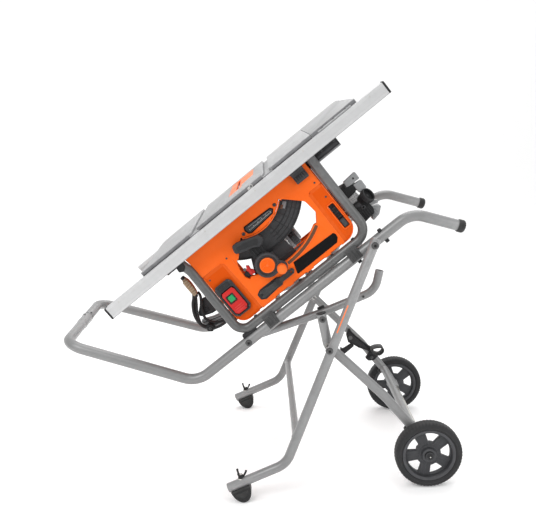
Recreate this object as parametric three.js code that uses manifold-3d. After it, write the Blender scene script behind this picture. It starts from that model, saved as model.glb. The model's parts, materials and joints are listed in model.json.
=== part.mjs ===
// Jobsite table saw on a folding wheeled stand, shown part-way through its fold.
// Millimetres, +Z up, +X towards the carrying handles and wheels, -Y towards the operator.
// The saw, its cage and the main tubes share one frame: x runs along the main tube,
// z is normal to the table. That frame is turned by TILT about Y at the link pivot.

import * as THREE from "three";
import { mergeVertices } from "three/addons/utils/BufferGeometryUtils.js";
import Module from "manifold-3d";

const wasm = await Module();
wasm.setup();

// ---------- driving dimensions ----------
// stand and placing; pivots are x, z
const TILT = THREE.MathUtils.degToRad(37.5); // main tube above horizontal
const BASE_X = 211.2; // puts the origin under the middle of the whole object
const LINK_PIVOT = [-245.2, 461.3]; // origin of the saw frame
const LEG_PIVOT = [119.8, 744.1];
const CROSS_PIVOT = [-14.1, 447.3]; // foot leg to wheel leg
const TOP_PIVOT = [-29.75, 530]; // wheel leg to link
const PEDAL_PIVOT = [112, 304]; // release pedal on the wheel leg
const HUB = [281.6, 101.6];
const WHEEL_R = 101.6;
const WHEEL_W = 45;
const WHEEL_OUT = 318; // outer face of a wheel from the middle plane
const LEG_R = 14;
const BORE_INSET = 2.5; // tube radius less the corner radius of its bore

// saw frame
const MAIN_Y = 268; // main tubes and cage hoops from the middle plane
const MAIN_R = 16;
const HOOP_R = 14;
const TABLE_TOP = 357;
const TABLE_BOTTOM = TABLE_TOP - 14;
const UNDER_TABLE = TABLE_BOTTOM - 0.4; // top of the parts just below the table
const SKIRT_Z = 322; // lower edge of the table skirts, top of the housing
const TABLE_Y = [-285, 245];
const BEVEL_AXIS = [243, TABLE_TOP]; // x, z, on the table surface in the blade plane
const ARBOR = [20, 227]; // y, z with the blade lowered
const MOTOR = [70, 115]; // y, z
const BLADE_R = 127;
const WHEEL_AXIS = [191, 148]; // handwheel shaft, x, z
const KNOB_AXIS = [220, 119]; // x, z
const SCREW = [230, 166]; // lift screw, x, y

const SIDES = [[-1, "front"], [1, "rear"]];

const MATERIALS = {
  frame: { color: 0x9c9da0, roughness: 0.45, metalness: 0.5 },
  table: { color: 0xc9cacc, roughness: 0.4, metalness: 0.6 },
  rail: { color: 0xd9dadc, roughness: 0.35, metalness: 0.7 },
  orange: { color: 0xf2641e, roughness: 0.5, metalness: 0 },
  black: { color: 0x26272a, roughness: 0.6, metalness: 0 },
  dark: { color: 0x3f4145, roughness: 0.6, metalness: 0.1 },
  rubber: { color: 0x1c1c1e, roughness: 0.85, metalness: 0 },
  red: { color: 0xc8202a, roughness: 0.4, metalness: 0 },
  green: { color: 0x1fa45a, roughness: 0.4, metalness: 0 },
  steel: { color: 0xb9bbbe, roughness: 0.25, metalness: 0.9 },
  grey: { color: 0x7d7f83, roughness: 0.5, metalness: 0.4 },
};

// ---------- solids and meshes ----------
// closed geometry to a manifold, its triangles turned outwards
function solid(geometry) {
  let welded = geometry.index ? geometry.toNonIndexed() : geometry.clone();
  welded.deleteAttribute("normal");
  welded.deleteAttribute("uv");
  welded = mergeVertices(welded, 1e-4);
  const p = welded.attributes.position.array;
  const tris = new Uint32Array(welded.index.array);
  let volume = 0;
  for (let i = 0; i < tris.length; i += 3) {
    const [a, b, c] = [tris[i] * 3, tris[i + 1] * 3, tris[i + 2] * 3];
    volume += p[a] * (p[b + 1] * p[c + 2] - p[b + 2] * p[c + 1]);
    volume += p[a + 1] * (p[b + 2] * p[c] - p[b] * p[c + 2]);
    volume += p[a + 2] * (p[b] * p[c + 1] - p[b + 1] * p[c]);
  }
  if (volume < 0) {
    for (let i = 0; i < tris.length; i += 3) {
      [tris[i + 1], tris[i + 2]] = [tris[i + 2], tris[i + 1]];
    }
  }
  return new wasm.Manifold(new wasm.Mesh({ numProp: 3, vertProperties: p, triVerts: tris }));
}
function put(group, name, body, material) {
  const { vertProperties, triVerts } = body.getMesh();
  const geometry = new THREE.BufferGeometry();
  const positions = new Float32Array(vertProperties);
  geometry.setAttribute("position", new THREE.BufferAttribute(positions, 3));
  geometry.setIndex(new THREE.BufferAttribute(new Uint32Array(triVerts), 1));
  const mesh = new THREE.Mesh(geometry, new THREE.MeshStandardMaterial(MATERIALS[material]));
  mesh.name = name;
  group.add(mesh);
}
const union = (...parts) => parts.reduce((a, b) => a.add(b));
const cut = (body, ...tools) => tools.reduce((a, b) => a.subtract(b), body);

// ---------- primitive shapes ----------
function box(x0, x1, y0, y1, z0, z1) {
  const block = new THREE.BoxGeometry(x1 - x0, y1 - y0, z1 - z0);
  return solid(block.translate((x0 + x1) / 2, (y0 + y1) / 2, (z0 + z1) / 2));
}

// Cylinders along each axis. Their centres are [y, z], [x, z] and [x, y]; n is the side count.
const cylinderX = ([y, z], x0, x1, r, n) =>
  solid(new THREE.CylinderGeometry(r, r, x1 - x0, n)
    .rotateZ(-Math.PI / 2).translate((x0 + x1) / 2, y, z));
// y0 and y1 in either order; a vertex points along Z
const cylinderY = ([x, z], y0, y1, r, n) =>
  solid(new THREE.CylinderGeometry(r, r, Math.abs(y1 - y0), n).translate(x, (y0 + y1) / 2, z));
const cylinderZ = ([x, y], z0, z1, r, n) =>
  solid(new THREE.CylinderGeometry(r, r, z1 - z0, n)
    .rotateX(Math.PI / 2).translate(x, y, (z0 + z1) / 2));

function extrude(outline, depth, holes = []) {
  const vectors = (points) => points.map(([a, b]) => new THREE.Vector2(a, b));
  const shape = new THREE.Shape(vectors(outline));
  shape.holes = holes.map((hole) => new THREE.Path(vectors(hole)));
  return new THREE.ExtrudeGeometry(shape, { depth, bevelEnabled: false, curveSegments: 8 });
}
// outline in y, z
const prismX = (outline, x0, x1) =>
  solid(extrude(outline, x1 - x0).rotateY(Math.PI / 2).rotateX(Math.PI / 2).translate(x0, 0, 0));
// outline in x, z; y0 and y1 in either order
const prismY = (outline, y0, y1, holes) =>
  solid(extrude(outline, Math.abs(y1 - y0), holes)
    .rotateX(Math.PI / 2).translate(0, Math.max(y0, y1), 0));
// outline in x, y
const prismZ = (outline, z0, z1, holes) => solid(extrude(outline, z1 - z0, holes).translate(0, 0, z0));

// profile is radius, height along Y
const lathe = (profile, n) =>
  new THREE.LatheGeometry(profile.map(([r, h]) => new THREE.Vector2(r, h)), n);
const turnedY = (profile, [x, z], n) => solid(lathe(profile, n).translate(x, 0, z));

// ---------- outlines ----------
// angles in degrees from straight down, towards the first coordinate
const arc = ([a, b], r, from, to, n) => Array.from({ length: n + 1 }, (_, i) => {
  const angle = THREE.MathUtils.degToRad(from + ((to - from) * i) / n);
  return [a + r * Math.sin(angle), b - r * Math.cos(angle)];
});
const roundRect = (a0, a1, b0, b1, r, n = 3) => [
  ...arc([a1 - r, b0 + r], r, 0, 90, n),
  ...arc([a1 - r, b1 - r], r, 90, 180, n),
  ...arc([a0 + r, b1 - r], r, 180, 270, n),
  ...arc([a0 + r, b0 + r], r, 270, 360, n),
];
// points given along and across a direction in the x, z plane
const directed = ([x, z], angle) => (along, across) => [
  x + along * Math.cos(angle) - across * Math.sin(angle),
  z + along * Math.sin(angle) + across * Math.cos(angle),
];
// point past `to` on the line from `from`
function beyond(from, to, distance) {
  const length = Math.hypot(to[0] - from[0], to[1] - from[1]);
  return to.map((value, i) => value + ((value - from[i]) * distance) / length);
}

// ---------- bent rods and tubes ----------
const point = (x, y, z) => new THREE.Vector3(x, y, z);
const at = ([x, z], y) => [x, y, z];
const mirrored = (points, side) => points.map(([x, y, z]) => point(x, side * y, z));

// visits its own points exactly, so that bends get the points and straights don't
class PointPath extends THREE.Curve {
  constructor(points) {
    super();
    this.points = points;
  }
  getSpacedPoints() {
    return this.points.map((p) => p.clone());
  }
  getTangentAt(u) {
    const last = this.points.length - 1;
    const i = Math.round(u * last);
    const here = this.points[i];
    const tangent = point(0, 0, 0);
    if (i > 0) tangent.add(here.clone().sub(this.points[i - 1]).normalize());
    if (i < last) tangent.add(this.points[i + 1].clone().sub(here).normalize());
    return tangent.normalize();
  }
}
// polyline with filleted corners: radii[i] belongs to inner point i + 1
function bent(points, radii, n = 4) {
  const path = [points[0]];
  for (let i = 1; i < points.length - 1; i++) {
    const corner = points[i];
    const r = radii[i - 1];
    const back = points[i - 1].clone().sub(corner).normalize();
    const ahead = points[i + 1].clone().sub(corner).normalize();
    const half = Math.acos(THREE.MathUtils.clamp(back.dot(ahead), -1, 1)) / 2;
    const setback = r / Math.tan(half);
    const bisector = back.clone().add(ahead).normalize();
    const centre = corner.clone().addScaledVector(bisector, r / Math.sin(half));
    const start = corner.clone().addScaledVector(back, setback).sub(centre);
    const end = corner.clone().addScaledVector(ahead, setback).sub(centre);
    const turn = start.angleTo(end);
    for (let k = 0; k <= n; k++) {
      path.push(centre.clone()
        .addScaledVector(start, Math.sin((1 - k / n) * turn) / Math.sin(turn))
        .addScaledVector(end, Math.sin((k / n) * turn) / Math.sin(turn)));
    }
  }
  path.push(points[points.length - 1]);
  return path;
}
function rod(path, r, n = 10) {
  const section = new THREE.Shape(Array.from({ length: n }, (_, i) => {
    const angle = ((i + 0.5) / n) * 2 * Math.PI;
    return new THREE.Vector2(r * Math.cos(angle), r * Math.sin(angle));
  }));
  section.closePath();
  return solid(new THREE.ExtrudeGeometry(section, {
    steps: path.length - 1,
    extrudePath: new PointPath(path),
    bevelEnabled: false,
    curveSegments: 1,
  }));
}
// straight rod across the middle plane
const crossRod = ([x, z], halfLength, r) => rod([point(x, -halfLength, z), point(x, halfLength, z)], r);
// five-sided bore that breaks out 1 mm past both ends
function bore(path, r) {
  const longer = path.map((p) => p.clone());
  const last = path.length - 1;
  longer[0].add(path[0].clone().sub(path[1]).normalize());
  longer[last].add(path[last].clone().sub(path[last - 1]).normalize());
  return rod(longer, r - BORE_INSET, 5);
}
// tubes of one radius and solid bars welded together, then bored
const weldedFrame = (paths, r, bars, borePaths = paths) =>
  cut(union(...paths.map((path) => rod(path, r)), ...bars), ...borePaths.map((path) => bore(path, r)));
const tube = (path, r) => weldedFrame([path], r, []);

// bolt along Y with its head on the outside
const bolt = (pivot, side, inner, outer, shankSides, headR) => union(
  cylinderY(pivot, side * inner, side * outer, 4.6, shankSides),
  cylinderY(pivot, side * outer, side * (outer + 6), headR, 10),
);

// ---------- groups ----------
const root = new THREE.Group();
const object = new THREE.Group();
object.position.set(BASE_X, 0, 0);
root.add(object);
const saw = new THREE.Group();
saw.position.set(LINK_PIVOT[0], 0, LINK_PIVOT[1]);
saw.rotation.y = -TILT;
object.add(saw);
const stand = new THREE.Group();
object.add(stand);

function inSawFrame([x, z]) {
  const dx = x - LINK_PIVOT[0];
  const dz = z - LINK_PIVOT[1];
  const [c, s] = [Math.cos(TILT), Math.sin(TILT)];
  return [c * dx + s * dz, c * dz - s * dx];
}
const SAW_LEG_PIVOT = inSawFrame(LEG_PIVOT);
const SAW_LINK_PIVOT = [0, 0];

// ---------- main frame ----------
const HANDLE_CORNER = [600, 0]; // x, z
const HANDLE_TIP = [690, -124];
const LOOP = [-421.4, 347.3]; // x, z of the bar that closes the loop

function frameTube(side) {
  const corners = [
    at(HANDLE_TIP, MAIN_Y), at(HANDLE_CORNER, MAIN_Y), [-198.3, MAIN_Y, 0],
    at(LOOP, 247.6), at(LOOP, 2),
  ];
  const y = side * MAIN_Y;
  const holes = [SAW_LEG_PIVOT, SAW_LINK_PIVOT].map((p) => cylinderY(p, y - 30, y + 30, 5.4, 8));
  return cut(tube(bent(mirrored(corners, side), [60, 70, 50]), MAIN_R), ...holes);
}
// domed grip cap over the handle end
function handleCap(side) {
  const profile = [
    [17, 0], [19, 0], [19, 26], [15.5, 32], [0, 36], [0, 27], [17, 27], [17, 0],
  ];
  const direction = point(HANDLE_TIP[0] - HANDLE_CORNER[0], 0, HANDLE_TIP[1]).normalize();
  const [x, z] = beyond(HANDLE_CORNER, HANDLE_TIP, -26.6);
  const cap = lathe(profile, 12);
  cap.applyQuaternion(new THREE.Quaternion().setFromUnitVectors(point(0, 1, 0), direction));
  return solid(cap.translate(x, side * MAIN_Y, z));
}
for (const [side, tag] of SIDES) {
  put(saw, "frame_tube_" + tag, frameTube(side), "frame");
  put(saw, "handle_cap_" + tag, handleCap(side), "rubber");
}
const loopSleeve = cut(cylinderY(LOOP, -45, 45, 19, 12), cylinderY(LOOP, -46, 46, 16.6, 12));
put(saw, "loop_joint_sleeve", loopSleeve, "frame");

// ---------- cage around the saw ----------
const CAGE = { x0: -2, x1: 472, z: 33, bendR: 50, stepR: 90 };

// the rear hoop steps inwards above the housing floor so that it meets the table
function cageHoop(side) {
  const topY = side < 0 ? MAIN_Y : 226;
  const step = side < 0 ? [] : [[topY, 250], [MAIN_Y, 130]];
  const upright = [[topY, UNDER_TABLE], ...step, [MAIN_Y, CAGE.z]]; // y, z
  const corners = [
    ...upright.map(([y, z]) => [CAGE.x0, y, z]),
    ...upright.toReversed().map(([y, z]) => [CAGE.x1, y, z]),
  ];
  const stepRadii = step.map(() => CAGE.stepR);
  const radii = [...stepRadii, CAGE.bendR, CAGE.bendR, ...stepRadii];
  return tube(bent(mirrored(corners, side), radii, 3), HOOP_R);
}
function cageClamp(x, y) {
  return cut(
    prismX(roundRect(y - 20, y + 20, -20, 50, 9, 2), x - 21, x + 21),
    cylinderX([y, 0], x - 30, x + 30, MAIN_R + 1, 12),
    cylinderX([y, CAGE.z], x - 30, x + 30, HOOP_R + 0.9, 12),
  );
}
for (const [side, tag] of SIDES) {
  put(saw, "cage_hoop_" + tag, cageHoop(side), "grey");
  for (const [x, end] of [[94, "left"], [400, "right"]]) {
    put(saw, `cage_clamp_${tag}_${end}`, cageClamp(x, side * MAIN_Y), "rubber");
  }
}

// ---------- housing ----------
const PANEL_FRONT = -268;
const ON_PANEL = PANEL_FRONT - 0.3; // back face of the parts laid on the panel

function housingShell() {
  return cut(
    box(16, 454, -250, 222, 50, SKIRT_Z),
    box(19, 451, -251, 219, 53, SKIRT_Z + 1), // inside, open at the top and front
    box(440, 460, 10, 190, 75, SKIRT_Z + 1), // right wall
    box(120, 380, -160, 150, 40, 60), // floor
    box(10, 25, 60, 170, 120, 250), // left wall
    box(52, 434, 210, 230, 78, 300), // rear wall
  );
}
function frontPanel() {
  const outline = [
    [16, SKIRT_Z], [16, 100], ...arc([66, 100], 50, -90, 0, 4),
    ...arc([410, 95], 44, 0, 90, 4), [454, SKIRT_Z],
  ];
  const opening = [
    ...arc(BEVEL_AXIS, 124, 46, -32, 10),
    [132, 218], [118, 190], [115, 155], [124, 134],
    ...arc(BEVEL_AXIS, 240, -27, 30, 8),
    [389, 175], [378, 224],
  ];
  const rightSlot = [[427, 84], [445, 84], [445, 164], [427, 164]];
  const switchHole = [[22, 79], [74, 79], [74, 182], [22, 182]];
  return prismY(outline, PANEL_FRONT, -250.4, [opening, rightSlot, switchHole]);
}
put(saw, "housing_shell", housingShell(), "orange");
put(saw, "front_panel", frontPanel(), "orange");

// flat outlines on the front panel, x, z
const SCALE_PLATE = [
  [199, 262], [203, 248], [212, 243], [292, 249], [304, 259], [298, 268], [206, 272],
];
const BLADE_WRENCH = [
  [106, 70], [118, 66], [200, 70], [232, 76], [234, 92], [198, 90], [150, 96], [116, 94],
  [106, 86],
];
put(saw, "scale_plate", prismY(SCALE_PLATE, -271, ON_PANEL), "dark");
put(saw, "blade_wrench", prismY(BLADE_WRENCH, -275, ON_PANEL), "dark");

// ---------- rail sizes, tables ----------
const FRONT_RAIL_Y = [-323, -289.5];
const REAR_RAIL_Y = [249.5, 281];
const RAIL_Z = [309, 345];
const RAIL_GROOVE_Z = [319.5, 334.5];

// mitre slot along y with a flared mouth at the front
function mitreSlot(x) {
  const [y0, y1] = TABLE_Y;
  const z0 = TABLE_TOP - 9.5;
  const mouth = [[x - 9, y0 - 1], [x + 28, y0 - 1], [x + 19, y0 + 16], [x, y0 + 16]];
  return [
    box(x, x + 19, y0 - 1, y1 + 1, z0, TABLE_TOP + 1),
    prismZ(mouth, z0, TABLE_TOP + 1),
  ];
}
function mainTable() {
  const [x0, x1] = [-107, 513];
  const [y0, y1] = TABLE_Y;
  const outline = [
    [x0, y0], [x1, y0], [x1, y1], [x0 + 30, y1], [x0 + 8, y1 - 12], [x0, y1 - 40],
  ];
  const throat = [
    [212, -150], [262, -150], [262, -72], [306, -40], [306, 190], [292, 204], [212, 204],
  ];
  const top = union(
    prismZ(outline, TABLE_BOTTOM, TABLE_TOP),
    box(x0, x0 + 6, y0, y1 - 40, SKIRT_Z, TABLE_BOTTOM + 1),
    box(x1 - 6, x1, y0 + 3, y1 - 3, SKIRT_Z, TABLE_BOTTOM + 1),
  );
  const opening = prismZ(throat, TABLE_BOTTOM - 1, TABLE_TOP + 1);
  return cut(top, ...mitreSlot(78), ...mitreSlot(345), opening);
}
function throatPlate() {
  const outline = [
    [212.5, -149.5], [261.5, -149.5], [261.5, -71.7], [305.5, -39.7], [305.5, 189.8],
    [291.8, 203.5], [212.5, 203.5],
  ];
  const bladeSlot = [[239.5, -118], [252, -118], [252, 158], [239.5, 158]];
  return prismZ(outline, TABLE_TOP - 5, TABLE_TOP - 0.3, [bladeSlot]);
}
function extensionTable() {
  const [x0, x1] = [514.5, 668];
  const [y0, y1] = TABLE_Y;
  const outline = [
    [x0, y0], [x1, y0], [x1, 20], [x1 - 7, 30], [x1 - 7, 90], [x1, 100], [x1, y1 - 30],
    [x1 - 18, y1], [x0, y1],
  ];
  const tab = (from, to) => box(x0 + 20, x1 - 20, from, to, RAIL_Z[1] + 0.4, 350);
  return union(
    prismZ(outline, TABLE_BOTTOM, TABLE_TOP),
    box(x1 - 6, x1, y0, 15, SKIRT_Z, TABLE_BOTTOM + 1),
    box(x0, x0 + 6, y0 + 3, y1 - 3, SKIRT_Z, TABLE_BOTTOM + 1),
    tab(y0 - 20, y0 + 1), // tabs over the rails
    tab(y1 - 1, y1 + 20),
  );
}
put(saw, "main_table", mainTable(), "table");
put(saw, "throat_plate", throatPlate(), "orange");
put(saw, "extension_table", extensionTable(), "table");

// ---------- rails ----------
function frontRail() {
  const [y0, y1] = FRONT_RAIL_Y;
  return cut(
    box(-242, 748, y0, y1, ...RAIL_Z),
    box(-243, 749, y1 - 7, y1 + 1, ...RAIL_GROOVE_Z),
    box(-243, 749, y0 - 1, y0 + 2, 325, 329), // shallow groove in the front face
  );
}
function rearRail() {
  const [y0, y1] = REAR_RAIL_Y;
  const groove = box(-237, 680, y0 - 1, y0 + 7, ...RAIL_GROOVE_Z);
  return cut(box(-243, 686, y0, y1, ...RAIL_Z), groove);
}
function frontRailCap(x0, x1) {
  const [y0, y1] = FRONT_RAIL_Y;
  return prismX(roundRect(y0 - 1, y1 + 1, RAIL_Z[0] - 1, RAIL_Z[1] + 1, 5), x0, x1);
}
// beams under the table whose tongues ride in the rail grooves
function railCarrier() {
  const beams = [48, 431].flatMap((x) => [
    box(x, x + 24, -285.5, 246, 323, UNDER_TABLE),
    box(x, x + 24, -295.5, -280, 320.2, 333.8),
    box(x, x + 24, 240, 255.5, 320.2, 333.8),
  ]);
  return union(...beams, box(70, 440, 224, 240, 323, UNDER_TABLE));
}
put(saw, "front_rail", frontRail(), "rail");
put(saw, "rear_rail", rearRail(), "rail");
put(saw, "front_rail_cap_left", frontRailCap(-248, -242.3), "black");
put(saw, "front_rail_cap_right", frontRailCap(748.3, 754), "black");
put(saw, "rail_carrier", railCarrier(), "dark");

const slideChannel = cut(
  box(455, 566, -243, -213, 276, 302),
  box(470, 567, -244, -240, 284, 294),
);
put(saw, "slide_channel", slideChannel, "black");

// rail lock lever, hinged along x at its top edge
const LOCK_BLADE = [[-281, 303], [-272, 303], [-269.5, 272], [-277, 268], [-283, 274]]; // y, z
const lockLever = union(cylinderX([-276.5, 302], 400, 442, 6.5, 12), prismX(LOCK_BLADE, 400, 442));
put(saw, "rail_lock_lever", lockLever, "dark");

// ---------- trunnions, bevel carriage ----------
function trunnion(y0, y1, outerR) {
  const ring = [...arc(BEVEL_AXIS, outerR, -72, 72, 14), ...arc(BEVEL_AXIS, 127, 72, -72, 12)];
  return union(
    prismY(ring, y0, y1),
    box(82, 112, y0, y1, 292, UNDER_TABLE),
    box(374, 402, y0, y1, 292, UNDER_TABLE),
  );
}
function bevelCarriage() {
  const plate = [...arc(BEVEL_AXIS, 245, -26, 8, 5), ...arc(BEVEL_AXIS, 96, 8, -26, 3)];
  const shoe = [...arc(BEVEL_AXIS, 213, -22, -6, 3), ...arc(BEVEL_AXIS, 195, -6, -22, 3)];
  const body = union(
    prismY(plate, -242, -236),
    prismY(plate, 182, 188),
    box(217, 271, 182, 188, 96, 288),
    box(193, 213, -237, 183, 112, 131), // beam joining the plates
    prismY(shoe, -256, -241), // passes below the front trunnion
    box(217, 271, 154, 183, 96, 106), // rear lugs
    box(217, 264, 154, 183, 278, 288),
    box(250, 262, 158, 174, 105, 279), // guide post
  );
  return cut(
    body,
    cylinderZ(SCREW, 90, 300, 5.5, 10),
    cylinderY(WHEEL_AXIS, -260, -230, 6.4, 14),
  );
}
put(saw, "front_trunnion", trunnion(-249, -243, 192), "black");
put(saw, "rear_trunnion", trunnion(192, 198, 152), "black");
put(saw, "bevel_carriage", bevelCarriage(), "dark");
// plain screw with its collar
const liftScrew = union(cylinderZ(SCREW, 88, 300, 5, 10), cylinderZ(SCREW, 84, 95.5, 10, 12));
put(saw, "lift_screw", liftScrew, "steel");

// ---------- handwheel ----------
// shaft, disc, crank arm and knob pin
function handwheel() {
  const disc = [
    [0, -309], [22, -309], [26, -306], [30, -308], [36, -305], [37, -300], [36, -290],
    [0, -290], [0, -309],
  ];
  const angle = Math.atan2(KNOB_AXIS[1] - WHEEL_AXIS[1], KNOB_AXIS[0] - WHEEL_AXIS[0]);
  const fromShaft = directed(WHEEL_AXIS, angle);
  const fromKnob = directed(KNOB_AXIS, angle);
  const arm = [
    fromShaft(0, 16), fromKnob(0, 11), fromKnob(11, 0), fromKnob(0, -11), fromShaft(0, -16),
  ];
  return union(
    cylinderY(WHEEL_AXIS, -300, 120, 6, 12),
    turnedY(disc, WHEEL_AXIS, 28),
    prismY(arm, -306, -298),
    cylinderY(KNOB_AXIS, -341, -305, 4, 10),
  );
}
function crankKnob() {
  const profile = [
    [0, -348], [11, -348], [14, -344], [14, -322], [12, -310.5], [0, -310.5], [0, -348],
  ];
  return cut(turnedY(profile, KNOB_AXIS, 20), cylinderY(KNOB_AXIS, -341.4, -300, 4.4, 10));
}
// on the handwheel axis, behind the disc
function bevelLockLever() {
  const [x, z] = WHEEL_AXIS;
  const grip = [
    [140, 236], [146, 252], [176, 247], [224, 231], [218, 205], [206, 203], [176, 215],
  ];
  const arm = [
    [x - 20, z], [x - 20, z + 50], [x - 16, 225], [x + 16, 225], [x + 20, z + 30], [x + 20, z],
  ];
  const body = union(
    prismY(grip, -297.5, -277),
    prismY(arm, -284, -276.5),
    cylinderY(WHEEL_AXIS, -284, -276.5, 22, 20),
  );
  return cut(body, cylinderY(WHEEL_AXIS, -290, -270, 6.5, 14));
}
put(saw, "handwheel", handwheel(), "black");
put(saw, "crank_knob", crankKnob(), "orange");
put(saw, "bevel_lock_lever", bevelLockLever(), "dark");

// ---------- arbor case with motor, blade ----------
function arborCase() {
  const outline = [...arc(ARBOR, 17, 110, 275, 7), ...arc(MOTOR, 40, 280, 470, 11)];
  const nutBlock = cut(
    box(218, 268, 154.5, 178, 116, 166),
    box(249.4, 262.6, 157.4, 174.6, 100, 180), // clears the guide post
  );
  return cut(
    union(prismX(outline, 252, 263), box(252, 263, 90, 156, 122, 160), nutBlock),
    cylinderX(ARBOR, 240, 280, 8.4, 14),
    cylinderZ(SCREW, 100, 180, 5.4, 10),
  );
}
function blade() {
  const teeth = 40;
  const tooth = [[0, BLADE_R], [0.25, BLADE_R], [0.6, BLADE_R - 9]]; // fraction of pitch, radius
  const outline = [];
  for (let i = 0; i < teeth; i++) {
    for (const [fraction, r] of tooth) {
      const angle = ((i + fraction) / teeth) * 2 * Math.PI;
      outline.push([ARBOR[0] + r * Math.cos(angle), ARBOR[1] + r * Math.sin(angle)]);
    }
  }
  return cut(prismX(outline, 242, 244.4), cylinderX(ARBOR, 230, 250, 8.4, 14));
}
function arborShaft() {
  return union(
    cylinderX(ARBOR, 232, 262.8, 8, 14),
    cylinderX(ARBOR, 244.8, 250.5, 22, 20), // inner flange
    cylinderX(ARBOR, 238.5, 241.6, 20, 16), // outer washer
    cylinderX(ARBOR, 230.5, 239, 13, 6), // nut
  );
}
put(saw, "arbor_case", arborCase(), "grey");
const motor = union(cylinderX(MOTOR, 263.4, 294, 40, 24), cylinderX(MOTOR, 294, 304, 30, 20));
put(saw, "motor", motor, "black");
put(saw, "blade", blade(), "steel");
put(saw, "arbor_shaft", arborShaft(), "steel");

// ---------- switch ----------
function switchBezel() {
  return cut(
    union(
      prismY(roundRect(18, 78, 75, 186, 9, 2), -274, ON_PANEL),
      box(22.5, 73.5, -268.5, -250.6, 79.5, 181.5),
    ),
    prismY(roundRect(24.5, 71.5, 81, 162, 6, 2), -280, -262),
  );
}
// stop paddle with a window for the start button
function switchPaddle() {
  const window = [[34.5, 122], [55.5, 122], [55.5, 144], [34.5, 144]];
  return prismY(roundRect(26, 70, 83, 160, 7), -279, -272.6, [window]);
}
put(saw, "switch_bezel", switchBezel(), "black");
put(saw, "switch_paddle", switchPaddle(), "red");
put(saw, "start_button", prismY(roundRect(35.5, 54.5, 123, 143, 3), -277, -268), "green");

// ---------- side fittings ----------
function fenceStorageBracket() {
  return union(
    box(454.4, 470, -225, -150, 88, 190), // base on the right wall
    box(454.4, 526, -220, -160, 133, 176), // arm
    box(502, 550, -224, -205, 164, 188), // hooks
    box(522, 550, -224, -205, 131, 159),
  );
}
function dustPort() {
  const spout = [[513, 57], [523, 80], [546, 64], [528, 43], [505, 39]];
  return union(
    box(470.4, 521, -222, -160, 52, 116),
    cylinderY([540, 108], -245, -200, 22, 20),
    box(515, 540, -215, -170, 80, 112),
    prismY(spout, -215, -175),
  );
}
// cord loop on the left side, its thick upper end, and the block at the housing wall
function powerCord() {
  const loop = [
    [-46, -188, 202], [-58, -186, 190], [-78, -184, 168], [-92, -182, 138], [-94, -180, 110],
    [-86, -178, 86], [-62, -178, 70], [-30, -178, 62], [-4, -178, 66],
  ];
  return union(
    rod(loop.map((p) => point(...p)), 6, 8),
    rod([point(-43, -188, 252), point(-47, -188, 198)], 11, 12),
    box(-18, 15.6, -196, -166, 56, 76),
  );
}
put(saw, "fence_storage_bracket", fenceStorageBracket(), "grey");
put(saw, "dust_port", dustPort(), "black");
put(saw, "power_cord", powerCord(), "rubber");

for (const [side, tag] of SIDES) {
  put(saw, "leg_bolt_" + tag, bolt(SAW_LEG_PIVOT, side, 252, 318.4, 8, 10.5), "black");
  put(saw, "link_bolt_" + tag, bolt(SAW_LINK_PIVOT, side, 222, 284.6, 8, 10.5), "black");
}

// ---------- foot legs ----------
const FOOT_BEND = [-146.6, 114]; // x, z
const FOOT_END = [-317.6, 44];
const LEG_TOP_Y = 302; // the legs splay outwards from here
const FOOT_Y = 352;
const FOOT_KNOB_X = -281.6;

function footLegFrame() {
  const paths = SIDES.map(([side]) => bent(mirrored([
    at(beyond(FOOT_BEND, LEG_PIVOT, 20), LEG_TOP_Y), at(FOOT_BEND, FOOT_Y), at(FOOT_END, FOOT_Y),
  ], side), [60]));
  const barZ = 185;
  const drop = (LEG_PIVOT[1] - barZ) / (LEG_PIVOT[1] - FOOT_BEND[1]);
  const barX = LEG_PIVOT[0] + (FOOT_BEND[0] - LEG_PIVOT[0]) * drop;
  const barEnd = LEG_TOP_Y + (FOOT_Y - LEG_TOP_Y) * drop - 2;
  const holes = SIDES.flatMap(([side]) => [
    cylinderY(LEG_PIVOT, side * 270, side * 330, 5.2, 10),
    cylinderY(CROSS_PIVOT, side * 300, side * 350, 5.2, 10),
    cylinderZ([FOOT_KNOB_X, side * FOOT_Y], 30, 90, 5.2, 10),
  ]);
  return cut(weldedFrame(paths, LEG_R, [crossRod([barX, barZ], barEnd, 11)]), ...holes);
}
// rubber foot under the leg end, with the stem that rises through the leg
function footPad(y) {
  const outline = [
    [-311, 4], [-308, 0], [-255, 0], [-252, 4], [-256, 18], [-268, 34], [-282, 40.5], [-300, 34],
  ];
  const legSeat = rod([point(-380, y, 18.5), point(-200, y, 92.2)], LEG_R + 0.6, 12);
  const stem = (z0, z1) => cylinderZ([FOOT_KNOB_X, y], z0, z1, 4.6, 8);
  return union(cut(prismY(outline, y - 24, y + 24), legSeat), stem(20, 38), stem(36, 88));
}
// three-lobed knob on top of the stem
function footKnob(y) {
  const centre = [FOOT_KNOB_X, y];
  const lobes = Array.from({ length: 18 }, (_, i) => {
    const angle = (i / 18) * 2 * Math.PI;
    const r = 15 + 6 * Math.cos(3 * angle);
    return [FOOT_KNOB_X + r * Math.cos(angle), y + r * Math.sin(angle)];
  });
  const body = union(prismZ(lobes, 85, 95), cylinderZ(centre, 80.5, 86, 9, 10));
  return cut(body, cylinderZ(centre, 70, 90, 5.3, 8));
}
put(stand, "foot_leg_frame", footLegFrame(), "frame");
for (const [side, tag] of SIDES) {
  put(stand, "foot_pad_" + tag, footPad(side * FOOT_Y), "rubber");
  put(stand, "foot_knob_" + tag, footKnob(side * FOOT_Y), "black");
}

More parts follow.
